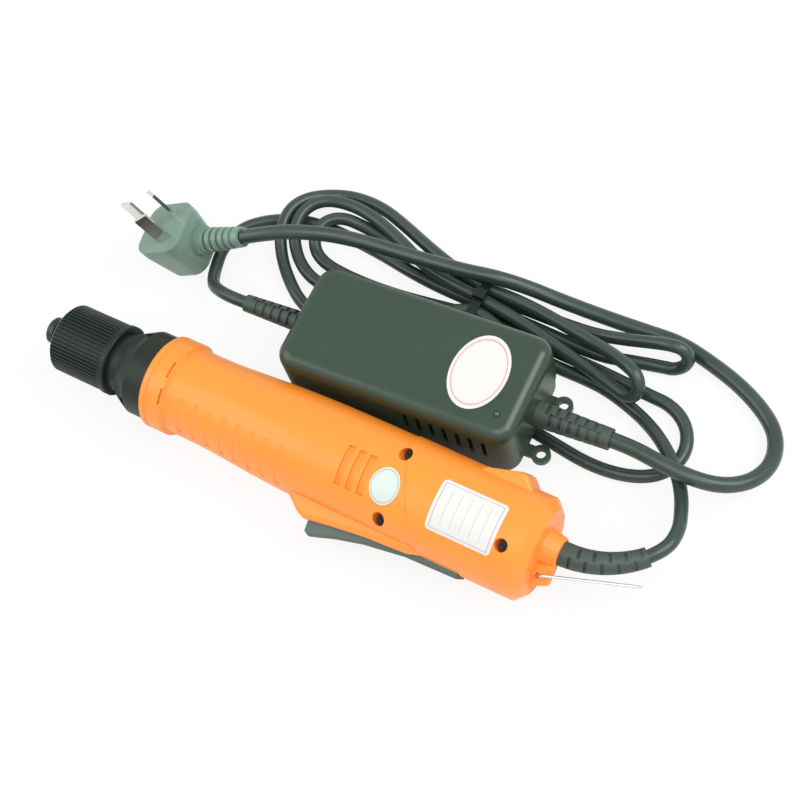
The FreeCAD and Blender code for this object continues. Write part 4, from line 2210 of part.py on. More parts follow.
def main():
    """Write one file for each piece."""
    os.makedirs("parts", exist_ok=True)
    placed = floor_nodes()
    for nodes, place in ((tool_nodes(), in_tool), (supply_nodes(), in_supply), (plug_nodes(), in_plug)):
        for name, shape in nodes.items():
            placed[name] = place(shape)
    for name, shape in placed.items():
        shape.exportStep("parts/%s.step" % name)


if __name__ == "__main__":
    main()
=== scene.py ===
"""Corded electric screwdriver beside its power supply, with finishes, cords and labels.

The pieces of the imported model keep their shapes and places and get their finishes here.
The cords are drawn as whole lengths that run from end to end, and the labels are laid on
the housings they belong to. Routes and places on the tool and the supply are written in
millimetres and made metres where they are used. All other sizes are in metres.
"""

import json
import logging
import math
from dataclasses import dataclass
from enum import Enum
from typing import Any, Union

import bpy
from mathutils import Matrix, Vector

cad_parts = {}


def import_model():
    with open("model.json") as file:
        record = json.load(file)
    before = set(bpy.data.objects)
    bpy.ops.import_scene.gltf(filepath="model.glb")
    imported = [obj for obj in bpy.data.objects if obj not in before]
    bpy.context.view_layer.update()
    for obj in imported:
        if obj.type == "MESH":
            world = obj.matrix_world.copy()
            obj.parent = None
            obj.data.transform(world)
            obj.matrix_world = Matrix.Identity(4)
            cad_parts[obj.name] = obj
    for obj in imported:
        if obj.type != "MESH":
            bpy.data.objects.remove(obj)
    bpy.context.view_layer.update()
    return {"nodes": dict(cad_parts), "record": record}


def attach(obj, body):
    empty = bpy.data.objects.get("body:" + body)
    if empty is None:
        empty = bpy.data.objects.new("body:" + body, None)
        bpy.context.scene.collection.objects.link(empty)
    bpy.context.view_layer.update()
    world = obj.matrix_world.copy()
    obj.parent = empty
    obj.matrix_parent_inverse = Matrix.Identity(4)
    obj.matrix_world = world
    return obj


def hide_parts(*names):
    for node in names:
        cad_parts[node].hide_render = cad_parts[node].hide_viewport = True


frame: dict[str, Any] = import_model()

Point = tuple[float, float, float]
Colour = tuple[float, float, float]
Span = tuple[float, float]
Operand = Union["Signal", float]

LOG = logging.getLogger("electric_screwdriver")

MM = 0.001
TOOL_AXIS_Y = -23.5
TOOL_AXIS_Z = 23.5
TOOL_FRONT_X = -83.0
TOOL_ROLL = math.radians(20.0)
SUPPLY_CENTRE: Point = (19.3, 29.8, 6.4)
SUPPLY_TURN = math.radians(3.3)
SUPPLY_TOP = 36.0


class Carrier(Enum):
    """Which piece of a housing a label is pressed onto."""

    SCREW_SHELL = "screw_side_shell"
    SUPPLY_COVER = "supply_cover"


class Lay(Enum):
    """How a cord lies, in the words of the cord call."""

    LOOSE = "loose"
    COILED = "coiled"


# Shader building


@dataclass
class Signal:
    """One output socket of a shader, on which plain arithmetic can be written."""

    sheet: "MaterialSheet"
    socket: Any

    def _math(self, operation: str, first: Operand, second: Operand) -> "Signal":
        """Add a Math node of two operands.

        Args:
            operation: Name of the Math node's operation.
            first: Left operand.
            second: Right operand.

        Returns:
            The node's value.
        """
        return self.sheet.add("ShaderNodeMath", {"operation": operation}, {0: first, 1: second})

    def __add__(self, other: Operand) -> "Signal":
        """Sum."""
        return self._math("ADD", self, other)

    __radd__ = __add__

    def __sub__(self, other: Operand) -> "Signal":
        """Difference."""
        return self._math("SUBTRACT", self, other)

    def __rsub__(self, other: Operand) -> "Signal":
        """Difference from a number."""
        return self._math("SUBTRACT", other, self)

    def __mul__(self, other: Operand) -> "Signal":
        """Product."""
        return self._math("MULTIPLY", self, other)

    __rmul__ = __mul__

    def __truediv__(self, other: Operand) -> "Signal":
        """Quotient."""
        return self._math("DIVIDE", self, other)

    def __gt__(self, other: Operand) -> "Signal":
        """One where this signal is the greater."""
        return self._math("GREATER_THAN", self, other)

    def __lt__(self, other: Operand) -> "Signal":
        """One where this signal is the smaller."""
        return self._math("LESS_THAN", self, other)

    def magnitude(self) -> "Signal":
        """Value without its sign."""
        return self._math("ABSOLUTE", self, 0.0)

    def higher(self, other: Operand) -> "Signal":
        """The greater of two values."""
        return self._math("MAXIMUM", self, other)


class MaterialSheet:
    """Node tree of one material with its main shader."""

    def __init__(self, name: str) -> None:
        """Start an empty material.

        Args:
            name: Name of the material.
        """
        self.material = bpy.data.materials.new(name)
        self.material.use_nodes = True
        self.tree = self.material.node_tree
        self.shader = self.tree.nodes["Principled BSDF"]
        self.output = self.tree.nodes["Material Output"]

    def add(
        self, kind: str, settings: dict[str, Any], inputs: dict[Any, Any], output: Any = 0
    ) -> Signal:
        """Add a node, set it up and feed its sockets.

        Args:
            kind: Blender's type name of the node.
            settings: Attributes set before the sockets are used.
            inputs: Values or signals by socket name or number.
            output: Name or number of the output that is returned.

        Returns:
            The chosen output.
        """
        node = self.tree.nodes.new(kind)
        for key, value in settings.items():
            setattr(node, key, value)
        for key, value in inputs.items():
            self.feed(node.inputs[key], value)
        return Signal(self, node.outputs[output])

    def feed(self, socket: Any, value: Any) -> None:
        """Link a signal to a socket, or set the socket's own value."""
        if isinstance(value, Signal):
            self.tree.links.new(value.socket, socket)
        else:
            socket.default_value = value

    def surface(self, **values: Any) -> None:
        """Set sockets of the main shader, with underscores for the spaces in their names."""
        for key, value in values.items():
            self.feed(self.shader.inputs[key.replace("_", " ")], value)

    def place(self) -> Signal:
        """Position on the object, in metres on the floor axes."""
        return self.add("ShaderNodeTexCoord", {}, {}, "Object")

    def axis(self, place: Signal, index: int) -> Signal:
        """One component of a position."""
        return self.add("ShaderNodeSeparateXYZ", {}, {0: place}, index)

    def moved(self, place: Signal, centre: Point, turn: Point) -> Signal:
        """Position measured from a centre on turned axes.

        Args:
            place: Position to measure.
            centre: Origin of the turned axes.
            turn: Euler angles of the turned axes.

        Returns:
            The position on those axes.
        """
        inputs = {"Vector": place, "Location": centre, "Rotation": turn}
        return self.add("ShaderNodeMapping", {"vector_type": "TEXTURE"}, inputs)

    def noise(
        self, scale: float, detail: float, place: Signal, stretch: Point = (1.0, 1.0, 1.0)
    ) -> Signal:
        """Cloudy pattern of a given scale per metre.

        Args:
            scale: Number of features per metre.
            detail: Number of finer layers.
            place: Position to read.
            stretch: Factors on the three axes.

        Returns:
            Values between nought and one.
        """
        placing = {"Vector": place, "Scale": stretch}
        spread = self.add("ShaderNodeMapping", {"vector_type": "POINT"}, placing)
        inputs = {"Vector": spread, "Scale": scale, "Detail": detail}
        return self.add("ShaderNodeTexNoise", {}, inputs, "Fac")

    def ramp(self, value: Signal, limits: Span, start: float, end: float) -> Signal:
        """Straight change from one value to another between two limits.

        Args:
            value: Pattern that is read.
            limits: Values of the pattern at the start and at the end.
            start: Result up to the first limit.
            end: Result from the second limit on.

        Returns:
            The result.
        """
        low, high = limits
        inputs = {"Value": value, "From Min": low, "From Max": high, "To Min": start, "To Max": end}
        return self.add("ShaderNodeMapRange", {"clamp": True}, inputs)

    def mixed(self, share: Operand, first: Any, second: Any) -> Signal:
        """Colour between two colours.

        Args:
            share: Share of the second colour.
            first: Colour or signal at nought.
            second: Colour or signal at one.

        Returns:
            The mixed colour.
        """
        inputs = {"Factor": share, 6: opaque(first), 7: opaque(second)}
        return self.add("ShaderNodeMix", {"data_type": "RGBA"}, inputs, 2)

    def relief(self, height: Signal, depth: float, strength: float) -> None:
        """Raise and lower the surface by a pattern.

        Args:
            height: Pattern between nought and one.
            depth: Height of the relief in metres.
            strength: Share of the full effect.
        """
        inputs = {"Height": height, "Distance": depth, "Strength": strength}
        self.surface(Normal=self.add("ShaderNodeBump", {}, inputs, "Normal"))


def opaque(colour: Any) -> Any:
    """A colour with full alpha, or a signal as it is."""
    if isinstance(colour, Signal):
        return colour
    return (colour[0], colour[1], colour[2], 1.0)


# Finishes

COARSE_DETAIL = 3.0
FINE_DETAIL = 2.0


@dataclass(frozen=True)
class MouldedPlastic:
    """Injection-moulded plastic with a fine grain, slight flow marks and a soft gloss."""

    name: str
    colour: Colour
    roughness: float = 0.38
    grain: float = 2600.0
    depth: float = 0.00003
    shade: float = 0.08
    coat: float = 0.0
    mirror: float = 0.5
    flow_scale: float = 26.0
    flow_stretch: Point = (1.0, 2.2, 2.2)
    flow_share: float = 0.6
    grain_share: float = 0.4
    limits: Span = (0.2, 0.8)
    glossier: float = 0.06
    duller: float = 0.08
    relief: float = 0.5

    def build(self) -> bpy.types.Material:
        """Material of this finish."""
        sheet = MaterialSheet(self.name)
        place = sheet.place()
        flow = sheet.noise(self.flow_scale, COARSE_DETAIL, place, self.flow_stretch)
        grain = sheet.noise(self.grain, FINE_DETAIL, place)
        dark = tuple(part * (1.0 - self.shade) for part in self.colour)
        light = tuple(min(1.0, part * (1.0 + self.shade)) for part in self.colour)
        sheet.surface(Base_Color=sheet.mixed(flow, dark, light), Coat_Weight=self.coat)
        pattern = flow * self.flow_share + grain * self.grain_share
        rough = sheet.ramp(
            pattern, self.limits, self.roughness - self.glossier, self.roughness + self.duller
        )
        sheet.surface(Roughness=rough, Specular_IOR_Level=self.mirror)
        sheet.relief(grain, self.depth, self.relief)
        return sheet.material


@dataclass(frozen=True)
class CordJacket:
    """Soft plastic cord jacket, wiped smooth, with dull patches along its length."""

    name: str
    colour: Colour
    roughness: float
    patch_scale: float = 60.0
    patch_share: float = 0.7
    patch_light: float = 1.5
    limits: Span = (0.3, 0.7)
    glossier: float = 0.05
    duller: float = 0.1
    grain: float = 900.0
    depth: float = 0.00004
    relief: float = 0.35

    def build(self) -> bpy.types.Material:
        """Material of this finish."""
        sheet = MaterialSheet(self.name)
        place = sheet.place()
        patches = sheet.noise(self.patch_scale, COARSE_DETAIL, place)
        grain = sheet.noise(self.grain, FINE_DETAIL, place)
        light = tuple(part * self.patch_light for part in self.colour)
        sheet.surface(Base_Color=sheet.mixed(patches * self.patch_share, self.colour, light))
        rough = sheet.ramp(
            patches, self.limits, self.roughness - self.glossier, self.roughness + self.duller
        )
        sheet.surface(Roughness=rough)
        sheet.relief(grain, self.depth, self.relief)
        return sheet.material


@dataclass(frozen=True)
class WorkedMetal:
    """Ground, turned or drawn metal with fine streaks."""

    name: str
    colour: Colour
    roughness: float
    streak_scale: float = 420.0
    streak: Point = (1.0, 14.0, 14.0)
    stain_scale: float = 90.0
    wear: float = 0.25
    limits: Span = (0.25, 0.75)
    glossier: float = 0.08
    duller: float = 0.12
    depth: float = 0.00002
    relief: float = 0.4

    def build(self) -> bpy.types.Material:
        """Material of this finish."""
        sheet = MaterialSheet(self.name)
        place = sheet.place()
        streaks = sheet.noise(self.streak_scale, COARSE_DETAIL, place, self.streak)
        stains = sheet.noise(self.stain_scale, FINE_DETAIL, place)
        dark = tuple(part * (1.0 - self.wear) for part in self.colour)
        sheet.surface(Base_Color=sheet.mixed(stains, dark, self.colour), Metallic=1.0)
        rough = sheet.ramp(
            streaks, self.limits, self.roughness - self.glossier, self.roughness + self.duller
        )
        sheet.surface(Roughness=rough)
        sheet.relief(streaks, self.depth, self.relief)
        return sheet.material


@dataclass(frozen=True)
class PlainPaper:
    """Blank printed sticker with a thin coloured edge line and faint ruled lines."""

    name: str
    centre: Point
    turn: Point
    half_length: float
    half_width: float
    oval: bool
    paper: Colour = (0.72, 0.71, 0.69)
    ink: Colour = (0.10, 0.14, 0.15)
    ink_share: float = 0.55
    oval_line: Span = (0.74, 0.82)
    square_line: Span = (0.88, 0.905)
    rules: int = 0
    rules_from: float = -0.6
    rules_span: float = 1.2
    rule_half_width: float = 0.012
    rule_half_length: float = 0.7
    rule_share: float = 0.5
    fibre_scale: float = 1400.0
    fibre_share: float = 0.25
    fibre_shade: float = 0.9
    limits: Span = (0.3, 0.7)
    roughness: Span = (0.28, 0.4)
    coat: float = 0.3

    def build(self) -> bpy.types.Material:
        """Material of this finish."""
        sheet = MaterialSheet(self.name)
        local = sheet.moved(sheet.place(), self.centre, self.turn)
        along = sheet.axis(local, 0) / self.half_length
        across = sheet.axis(local, 1) / self.half_width
        if self.oval:
            reach = along * along + across * across
            inner, outer = self.oval_line
        else:
            reach = along.magnitude().higher(across.magnitude())
            inner, outer = self.square_line
        line = (reach > inner) * (reach < outer)
        for index in range(self.rules):
            level = self.rules_from + self.rules_span * index / (self.rules - 1)
            narrow = (along - level).magnitude() < self.rule_half_width
            rule = narrow * (across.magnitude() < self.rule_half_length)
            line = line.higher(rule * self.rule_share)
        fibre = sheet.noise(self.fibre_scale, FINE_DETAIL, sheet.place())
        shaded = tuple(part * self.fibre_shade for part in self.paper)
        tone = sheet.mixed(fibre * self.fibre_share, self.paper, shaded)
        sheet.surface(Base_Color=sheet.mixed(line * self.ink_share, tone, self.ink))
        sheet.surface(Roughness=sheet.ramp(fibre, self.limits, *self.roughness))
        sheet.surface(Coat_Weight=self.coat)
        return sheet.material


ORANGE: Colour = (0.95, 0.285, 0.027)
DARK_GREEN: Colour = (0.017, 0.042, 0.024)
BLACK: Colour = (0.007, 0.015, 0.010)

FINISHES: dict[str, Any] = {
    "shell_orange": MouldedPlastic("moulded_orange", ORANGE, 0.36, 2200.0, 0.00003, 0.05, 0.12),
    "black_plastic": MouldedPlastic("turned_black", BLACK, 0.40, 3200.0, 0.00003, 0.15, mirror=0.28),
    "lever_plastic": MouldedPlastic("lever_grey", (0.075, 0.108, 0.092), 0.40, 2400.0, 0.00003, 0.12),
    "supply_plastic": MouldedPlastic("supply_dark", DARK_GREEN, 0.30, 1900.0, 0.00004, 0.10, 0.15),
    # The plug's pale grey-green base colour is the tone of its glare-lit top: painted glare over plastic
    # that is dark.
    "plug_plastic": MouldedPlastic("plug_painted_glare", (0.17, 0.275, 0.225), 0.36, 2400.0, 0.00003, 0.12, 0.1),
    "boot_rubber": MouldedPlastic("boot_soft", (0.040, 0.062, 0.052), 0.48, 1800.0, 0.00004, 0.15),
    "cord_pvc": CordJacket("cord_jacket", (0.022, 0.040, 0.033), 0.27),
    "steel": WorkedMetal("bright_steel", (0.72, 0.73, 0.72), 0.22),
    "spring_steel": WorkedMetal("spring_wire", (0.42, 0.42, 0.42), 0.30),
    "screw_black": WorkedMetal("black_screw", (0.06, 0.06, 0.06), 0.42),
    "gear_steel": WorkedMetal("sintered_steel", (0.36, 0.36, 0.36), 0.40),
    "brass_plate": WorkedMetal("plated_pins", (0.80, 0.79, 0.76), 0.20),
    "copper": WorkedMetal("enamelled_copper", (0.62, 0.26, 0.12), 0.34),
    "aluminium": WorkedMetal("rolled_aluminium", (0.66, 0.67, 0.68), 0.34),
    "ferrite": MouldedPlastic("ground_ferrite", (0.045, 0.045, 0.048), 0.55),
    "carbon": MouldedPlastic("pressed_carbon", (0.025, 0.025, 0.026), 0.60),
    "board_green": MouldedPlastic("board_lacquer", (0.02, 0.16, 0.05), 0.30),
    "part_dark": MouldedPlastic("moulded_component", (0.03, 0.03, 0.032), 0.45),
    "white_plastic": MouldedPlastic("moulded_white", (0.72, 0.72, 0.68), 0.40),
    "lens": MouldedPlastic("lens_tint", (0.01, 0.05, 0.015), 0.12, 900.0, 0.00001, 0.1, 0.6),
}

# The plug body takes the plug finish, whose pale base colour carries painted glare.
NODE_FINISHES: dict[str, str] = {"plug_body": "plug_plastic"}


class FinishRack:
    """Builds each finish once and hands it out by the record's slot name."""

    def __init__(self, finishes: dict[str, Any]) -> None:
        """Keep the finishes.

        Args:
            finishes: Finish by slot name.
        """
        self.finishes = finishes
        self.made: dict[str, bpy.types.Material] = {}

    def material(self, slot: str) -> bpy.types.Material:
        """Material of a slot."""
        if slot not in self.made:
            self.made[slot] = self.finishes[slot].build()
        return self.made[slot]

    def dress_nodes(self, record: dict[str, Any], nodes: dict[str, bpy.types.Object]) -> None:
        """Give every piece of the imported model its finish.

        Args:
            record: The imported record.
            nodes: Objects by node name.
        """
        for part in record["subparts"]:
            node = nodes[part["node"]]
            node.data.materials.clear()
            slot = NODE_FINISHES.get(part["node"], part["material_slot"])
            node.data.materials.append(self.material(slot))


# Places


def tool_matrix(along: float, angle: float) -> Matrix:
    """Axes on the screwdriver's spindle, with z pointing out through its housing.

    Args:
        along: Distance from the front of the housing, in millimetres.
        angle: Turn about the spindle from the middle of the screw-side half shell, in radians.

    Returns:
        The axes as a matrix in metres.
    """
    origin = Vector((TOOL_FRONT_X + along, TOOL_AXIS_Y, TOOL_AXIS_Z)) * MM
    return Matrix.Translation(origin) @ Matrix.Rotation(TOOL_ROLL + angle, 4, "X")


def supply_matrix(x: float, y: float, z: float) -> Matrix:
    """Axes on the power supply.

    Args:
        x: Distance along it from its middle, in millimetres.
        y: Distance across it from its middle, in millimetres.
        z: Height above its base, in millimetres.

    Returns:
        The axes as a matrix in metres.
    """
    base = Matrix.Translation(Vector(SUPPLY_CENTRE) * MM) @ Matrix.Rotation(SUPPLY_TURN, 4, "Z")
    return base @ Matrix.Translation(Vector((x, y, z)) * MM)


def select_only(piece: bpy.types.Object) -> None:
    """Deselect everything and make one piece active."""
    bpy.ops.object.select_all(action="DESELECT")
    piece.select_set(True)
    bpy.context.view_layer.objects.active = piece


def bake_place(piece: bpy.types.Object) -> None:
    """Move a piece's place into its mesh."""
    select_only(piece)
    bpy.ops.object.transform_apply(location=True, rotation=True, scale=True)


def apply_modifier(piece: bpy.types.Object, kind: str, **settings: Any) -> None:
    """Add a modifier, set it up and apply it.

    Args:
        piece: Piece to change.
        kind: Type of the modifier.
        settings: The modifier's own settings.
    """
    modifier = piece.modifiers.new(kind.title(), kind)
    for key, value in settings.items():
        setattr(modifier, key, value)
    select_only(piece)
    bpy.ops.object.modifier_apply(modifier=modifier.name)


# Labels


@dataclass
class Label:
    """Thin sticker pressed onto a housing."""

    name: str
    carrier: Carrier
    body: str
    slot: str
    length: float
    width: float
    corner: float
    oval: bool
    thickness: float = 0.00018
    lift: float = 0.00006
    steps: int = 40
    smooth_below: float = math.radians(40)

    def sheet(self) -> bpy.types.Object:
        """Flat sticker on the world's xy plane, cut to its outline."""
        bpy.ops.object.select_all(action="DESELECT")
        bpy.ops.mesh.primitive_grid_add(
            x_subdivisions=self.steps, y_subdivisions=self.steps, size=1.0
        )
        piece = bpy.context.active_object
        piece.name = self.name
        half_length = self.length / 2
        half_width = self.width / 2
        for vertex in piece.data.vertices:
            x = vertex.co.x * 2
            y = vertex.co.y * 2
            if self.oval:
                across = math.sqrt(1 - y * y / 2)
                down = math.sqrt(1 - x * x / 2)
                vertex.co = (x * across * half_length, y * down * half_width, 0)
            else:
                vertex.co = self.rounded(x * half_length, y * half_width)
        return piece

    def rounded(self, x: float, y: float) -> Point:
        """Pull a point near a corner in to the rounded outline.

        Args:
            x: Place along the label.
            y: Place across the label.

        Returns:
            The place on the cut sheet.
        """
        straight_x = self.length / 2 - self.corner
        straight_y = self.width / 2 - self.corner
        deep_x = abs(x) - straight_x
        deep_y = abs(y) - straight_y
        if deep_x <= 0 or deep_y <= 0:
            return (x, y, 0)
        pull = max(deep_x, deep_y) / math.hypot(deep_x, deep_y)
        round_x = math.copysign(straight_x + deep_x * pull, x)
        round_y = math.copysign(straight_y + deep_y * pull, y)
        return (round_x, round_y, 0)

    def press(self, matrix: Matrix, reach: float, material: bpy.types.Material) -> bpy.types.Object:
        """Lay the sticker on its housing and give it its thickness.

        Args:
            matrix: Axes above the surface, z away from it.
            reach: Height from which it is pressed down.
            material: Its finish.

        Returns:
            The finished piece.
        """
        piece = self.sheet()
        piece.matrix_world = matrix @ Matrix.Translation((0, 0, reach))
        bake_place(piece)
        normal = matrix.to_3x3() @ Vector((0, 0, 1))
        self.drop(piece, frame["nodes"][self.carrier.value], normal)
        apply_modifier(piece, "SOLIDIFY", thickness=self.thickness, offset=1.0)
        select_only(piece)
        bpy.ops.object.shade_smooth_by_angle(angle=self.smooth_below)
        piece.data.materials.append(material)
        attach(piece, self.body)
        return piece

    def drop(self, piece: bpy.types.Object, target: bpy.types.Object, normal: Vector) -> None:
        """Press each point of the sheet straight down onto its housing.

        Args:
            piece: The sheet.
            target: Piece of the housing that carries it.
            normal: Direction away from the housing.
        """
        lift = normal * self.lift
        for vertex in piece.data.vertices:
            hit, place, _, _ = target.ray_cast(vertex.co, -normal)
            if hit:
                vertex.co = place + lift
        piece.data.update()


# Cords


@dataclass
class Cord:
    """A free cord drawn as one smooth line through its control points."""

    name: str
    diameter: float
    points: list[Point]
    replaced: tuple[str, ...]
    far_end: str
    stiffness: str
    lay: Lay
    carried: tuple[str, ...]
    length: float
    body: str = "housing"
    curve_steps: int = 10
    rim_steps: int = 5
    order: int = 3

    def draw(self, material: bpy.types.Material) -> bpy.types.Object:
        """Args:
            material: Finish of the jacket.

        Returns:
            The curve object.
        """
        curve = bpy.data.curves.new(self.name, "CURVE")
        curve.dimensions = "3D"
        curve.resolution_u = self.curve_steps
        curve.bevel_depth = self.diameter / 2
        curve.bevel_resolution = self.rim_steps
        curve.use_fill_caps = True
        spline = curve.splines.new("NURBS")
        spline.points.add(len(self.points) - 1)
        for control, place in zip(spline.points, self.points):
            control.co = (place[0] * MM, place[1] * MM, place[2] * MM, 1.0)
        spline.order_u = self.order
        spline.use_endpoint_u = True
        piece = bpy.data.objects.new(self.name, curve)
        bpy.context.scene.collection.objects.link(piece)
        curve.materials.append(material)
        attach(piece, self.body)
        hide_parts(*self.replaced)
        first = self.points[0]
        first[0] * MM
        first[1] * MM
        first[2] * MM
        return piece


OUTPUT_EXIT: Point = (-71.72, 27.56, 20.9)
TOOL_EXIT: Point = (146.81, -7.18, 24.53)
MAINS_EXIT: Point = (110.15, 35.04, 20.9)
PLUG_EXIT: Point = (-85.74, 52.45, 32.85)

OUTPUT_SUPPLY_ROUTE: list[Point] = [
    (-80.7, 27.0, 20.9), (-92.7, 29.9, 16.8), (-100.0, 35.8, 9.3), (-105.4, 44.0, 4.2), (-109.2, 56.0, 3.1),
    (-106.6, 69.0, 3.1), (-97.8, 77.6, 3.1), (-87.5, 83.0, 3.1), (-77.0, 86.2, 3.1),
]
HANK_FIRST_TURN: list[Point] = [
    (-62.0, 87.0, 3.1), (-36.0, 84.6, 3.1), (-14.0, 80.8, 3.1), (5.0, 79.2, 3.1), (23.0, 79.1, 3.1),
    (45.0, 78.4, 3.1), (66.0, 77.6, 3.1), (84.0, 77.3, 3.1), (97.0, 80.4, 3.1), (104.5, 82.2, 3.1),
    (111.2, 83.6, 3.1), (116.9, 84.5, 3.5), (121.1, 86.6, 7.1), (121.7, 88.4, 12.4), (118.3, 89.2, 16.3),
    (112.4, 88.6, 16.6), (102.0, 87.9, 12.4), (91.0, 87.3, 7.4), (78.0, 86.2, 3.5), (64.0, 85.4, 3.1),
    (48.0, 85.2, 3.1), (23.0, 85.2, 3.1), (5.0, 85.6, 3.1), (-14.0, 88.0, 3.1), (-34.0, 92.2, 3.1),
    (-48.0, 93.6, 4.8), (-60.0, 92.4, 8.6), (-67.0, 85.5, 9.8), (-67.0, 75.5, 8.4), (-60.0, 68.5, 5.0),
    (-44.0, 66.8, 3.1), (-20.0, 67.0, 3.1), (5.0, 70.3, 3.1), (23.0, 73.0, 3.1), (48.0, 71.9, 3.1),
    (75.0, 70.9, 3.1), (94.0, 69.9, 3.1),
]
OUTPUT_LOOP_ROUTE: list[Point] = [
    (110.5, 68.5, 3.1), (122.5, 68.0, 3.1), (132.2, 62.2, 3.1), (137.2, 52.6, 3.1), (136.4, 42.6, 3.1),
    (130.2, 34.0, 3.1), (118.0, 28.8, 3.1), (102.0, 27.4, 3.1), (84.0, 30.0, 3.1), (50.0, 34.8, 3.1),
    (8.0, 38.0, 3.1), (-36.0, 38.5, 3.1), (-57.0, 45.0, 3.1), (-69.5, 54.0, 3.2), (-78.5, 63.0, 4.6),
    (-84.5, 73.0, 8.0),
]
HANK_SECOND_TURN: list[Point] = [
    (-86.2, 84.5, 9.9), (-83.0, 94.5, 8.2), (-74.0, 103.0, 4.8), (-61.0, 107.6, 3.7), (-46.0, 107.0, 3.7),
    (-31.0, 101.8, 5.2), (-14.0, 94.6, 7.8), (5.0, 88.0, 9.4), (23.0, 85.2, 9.3), (42.0, 84.8, 9.4),
    (60.0, 82.6, 9.5), (78.0, 79.0, 10.8), (90.5, 74.6, 16.4), (100.8, 70.0, 20.7), (106.3, 67.6, 20.9),
    (109.4, 64.2, 17.4), (108.6, 61.3, 12.6), (104.3, 60.9, 9.3), (98.8, 62.7, 9.2), (88.0, 65.4, 9.4),
    (74.0, 68.8, 9.3), (48.0, 75.2, 9.3), (23.0, 79.1, 9.3), (5.0, 81.0, 9.3), (-12.0, 84.6, 9.4),
    (-26.0, 91.0, 9.5), (-43.0, 97.4, 9.5), (-58.0, 99.8, 9.5), (-71.5, 97.6, 9.6), (-78.4, 90.6, 9.8),
    (-79.4, 80.6, 9.8), (-75.2, 70.6, 7.4), (-66.0, 61.6, 5.0), (-54.0, 57.2, 3.4), (-30.0, 57.5, 3.1),
    (-5.0, 61.0, 5.0), (12.0, 67.5, 9.0), (23.0, 73.0, 9.3), (38.0, 68.6, 8.8), (52.0, 64.9, 5.0),
    (68.0, 64.2, 3.1), (84.0, 64.2, 3.1),
]
OUTPUT_TOOL_ROUTE: list[Point] = [
    (94.0, 63.2, 3.1), (104.0, 60.6, 3.2), (114.5, 56.8, 3.6), (124.5, 50.2, 8.0), (133.5, 42.6, 10.6),
    (140.6, 35.4, 11.0), (146.0, 27.0, 12.3), (149.6, 18.6, 16.0), (152.8, 9.4, 21.4), (152.1, -1.2, 24.4),
]
MAINS_ROUTE: list[Point] = [
    (-75.0, 56.0, 37.2), (-62.0, 62.4, 38.2), (-42.0, 72.0, 32.6), (-14.0, 78.9, 23.8), (11.0, 84.4, 18.4),
    (27.0, 88.2, 17.2), (41.0, 92.4, 10.6), (56.0, 94.2, 6.2), (76.0, 95.6, 3.9), (98.0, 96.7, 3.6),
    (113.0, 97.6, 3.6), (128.5, 94.2, 3.6), (145.0, 89.0, 3.6), (158.6, 82.0, 3.6), (167.6, 74.4, 4.0),
    (172.2, 64.4, 5.6), (172.2, 53.6, 8.4), (167.4, 43.8, 12.2), (158.6, 36.8, 15.8), (146.6, 33.9, 18.6),
    (133.0, 34.2, 20.2), (119.5, 35.5, 20.9),
]


@dataclass
class CordSet:
    """The output cord with its tied hank and the mains cord with its plug."""

    rack: FinishRack
    output_diameter: float = 0.006
    output_length: float = 1.71
    mains_diameter: float = 0.007
    mains_length: float = 0.362

    def build(self) -> None:
        """Draw both cords."""
        jacket = self.rack.material("cord_pvc")
        output_points = (
            [OUTPUT_EXIT] + OUTPUT_SUPPLY_ROUTE + HANK_FIRST_TURN + OUTPUT_LOOP_ROUTE
            + HANK_SECOND_TURN + OUTPUT_TOOL_ROUTE + [TOOL_EXIT]
        )
        output = Cord(
            "output_cord", self.output_diameter, output_points,
            ("output_lead_supply_end", "output_lead_hank", "output_lead_loop", "output_lead_tool_end"),
            "object", "medium", Lay.COILED, ("cable_tie",), self.output_length,
        )
        output.draw(jacket)
        mains = Cord(
            "mains_cord", self.mains_diameter, [MAINS_EXIT] + MAINS_ROUTE[::-1] + [PLUG_EXIT],
            ("mains_lead",), "plug", "medium", Lay.LOOSE, ("plug_body", "plug_pins"), self.mains_length,
        )
        mains.draw(jacket)
        LOG.info("cords drawn")


@dataclass
class ScrewdriverDress:
    """Labels on the screwdriver's housing."""

    label_from: float = 146.0
    label_to: float = 175.7
    label_high: float = 31.0
    label_low: float = -23.0
    label_corner: float = 0.0018
    label_rules: int = 5
    badge_at: float = 124.0
    badge_angle: float = 2.0
    badge_length: float = 0.013
    badge_width: float = 0.016
    badge_paper: Colour = (0.62, 0.70, 0.66)
    badge_ink: Colour = (0.06, 0.12, 0.12)
    radius: float = 23.0
    press_from: float = 0.04

    def build(self) -> None:
        """Lay the blank label and the blank oval badge."""
        self.lay_label()
        self.lay_badge()
        LOG.info("screwdriver dressed")

    def lay_label(self) -> None:
        """Lay the blank label with its faint ruled lines."""
        middle = (self.label_from + self.label_to) / 2
        angle = math.radians((self.label_high + self.label_low) / 2)
        length = (self.label_to - self.label_from) * MM
        width = self.radius * math.radians(self.label_high - self.label_low) * MM
        matrix = tool_matrix(middle, -angle)
        paper = PlainPaper(
            "blank_label", tuple(matrix.translation), tuple(matrix.to_euler()),
            length / 2, width / 2, False, rules=self.label_rules,
        )
        label = Label(
            "rating_label", Carrier.SCREW_SHELL, "housing", "shell_orange",
            length, width, self.label_corner, False,
        )
        label.press(matrix, self.press_from, paper.build())

    def lay_badge(self) -> None:
        """Lay the blank oval badge between the vents and the label."""
        matrix = tool_matrix(self.badge_at, math.radians(self.badge_angle))
        paper = PlainPaper(
            "blank_badge", tuple(matrix.translation), tuple(matrix.to_euler()),
            self.badge_length / 2, self.badge_width / 2, True, self.badge_paper, self.badge_ink,
        )
        badge = Label(
            "oval_badge", Carrier.SCREW_SHELL, "housing", "shell_orange",
            self.badge_length, self.badge_width, 0.0, True,
        )
        badge.press(matrix, self.press_from, paper.build())


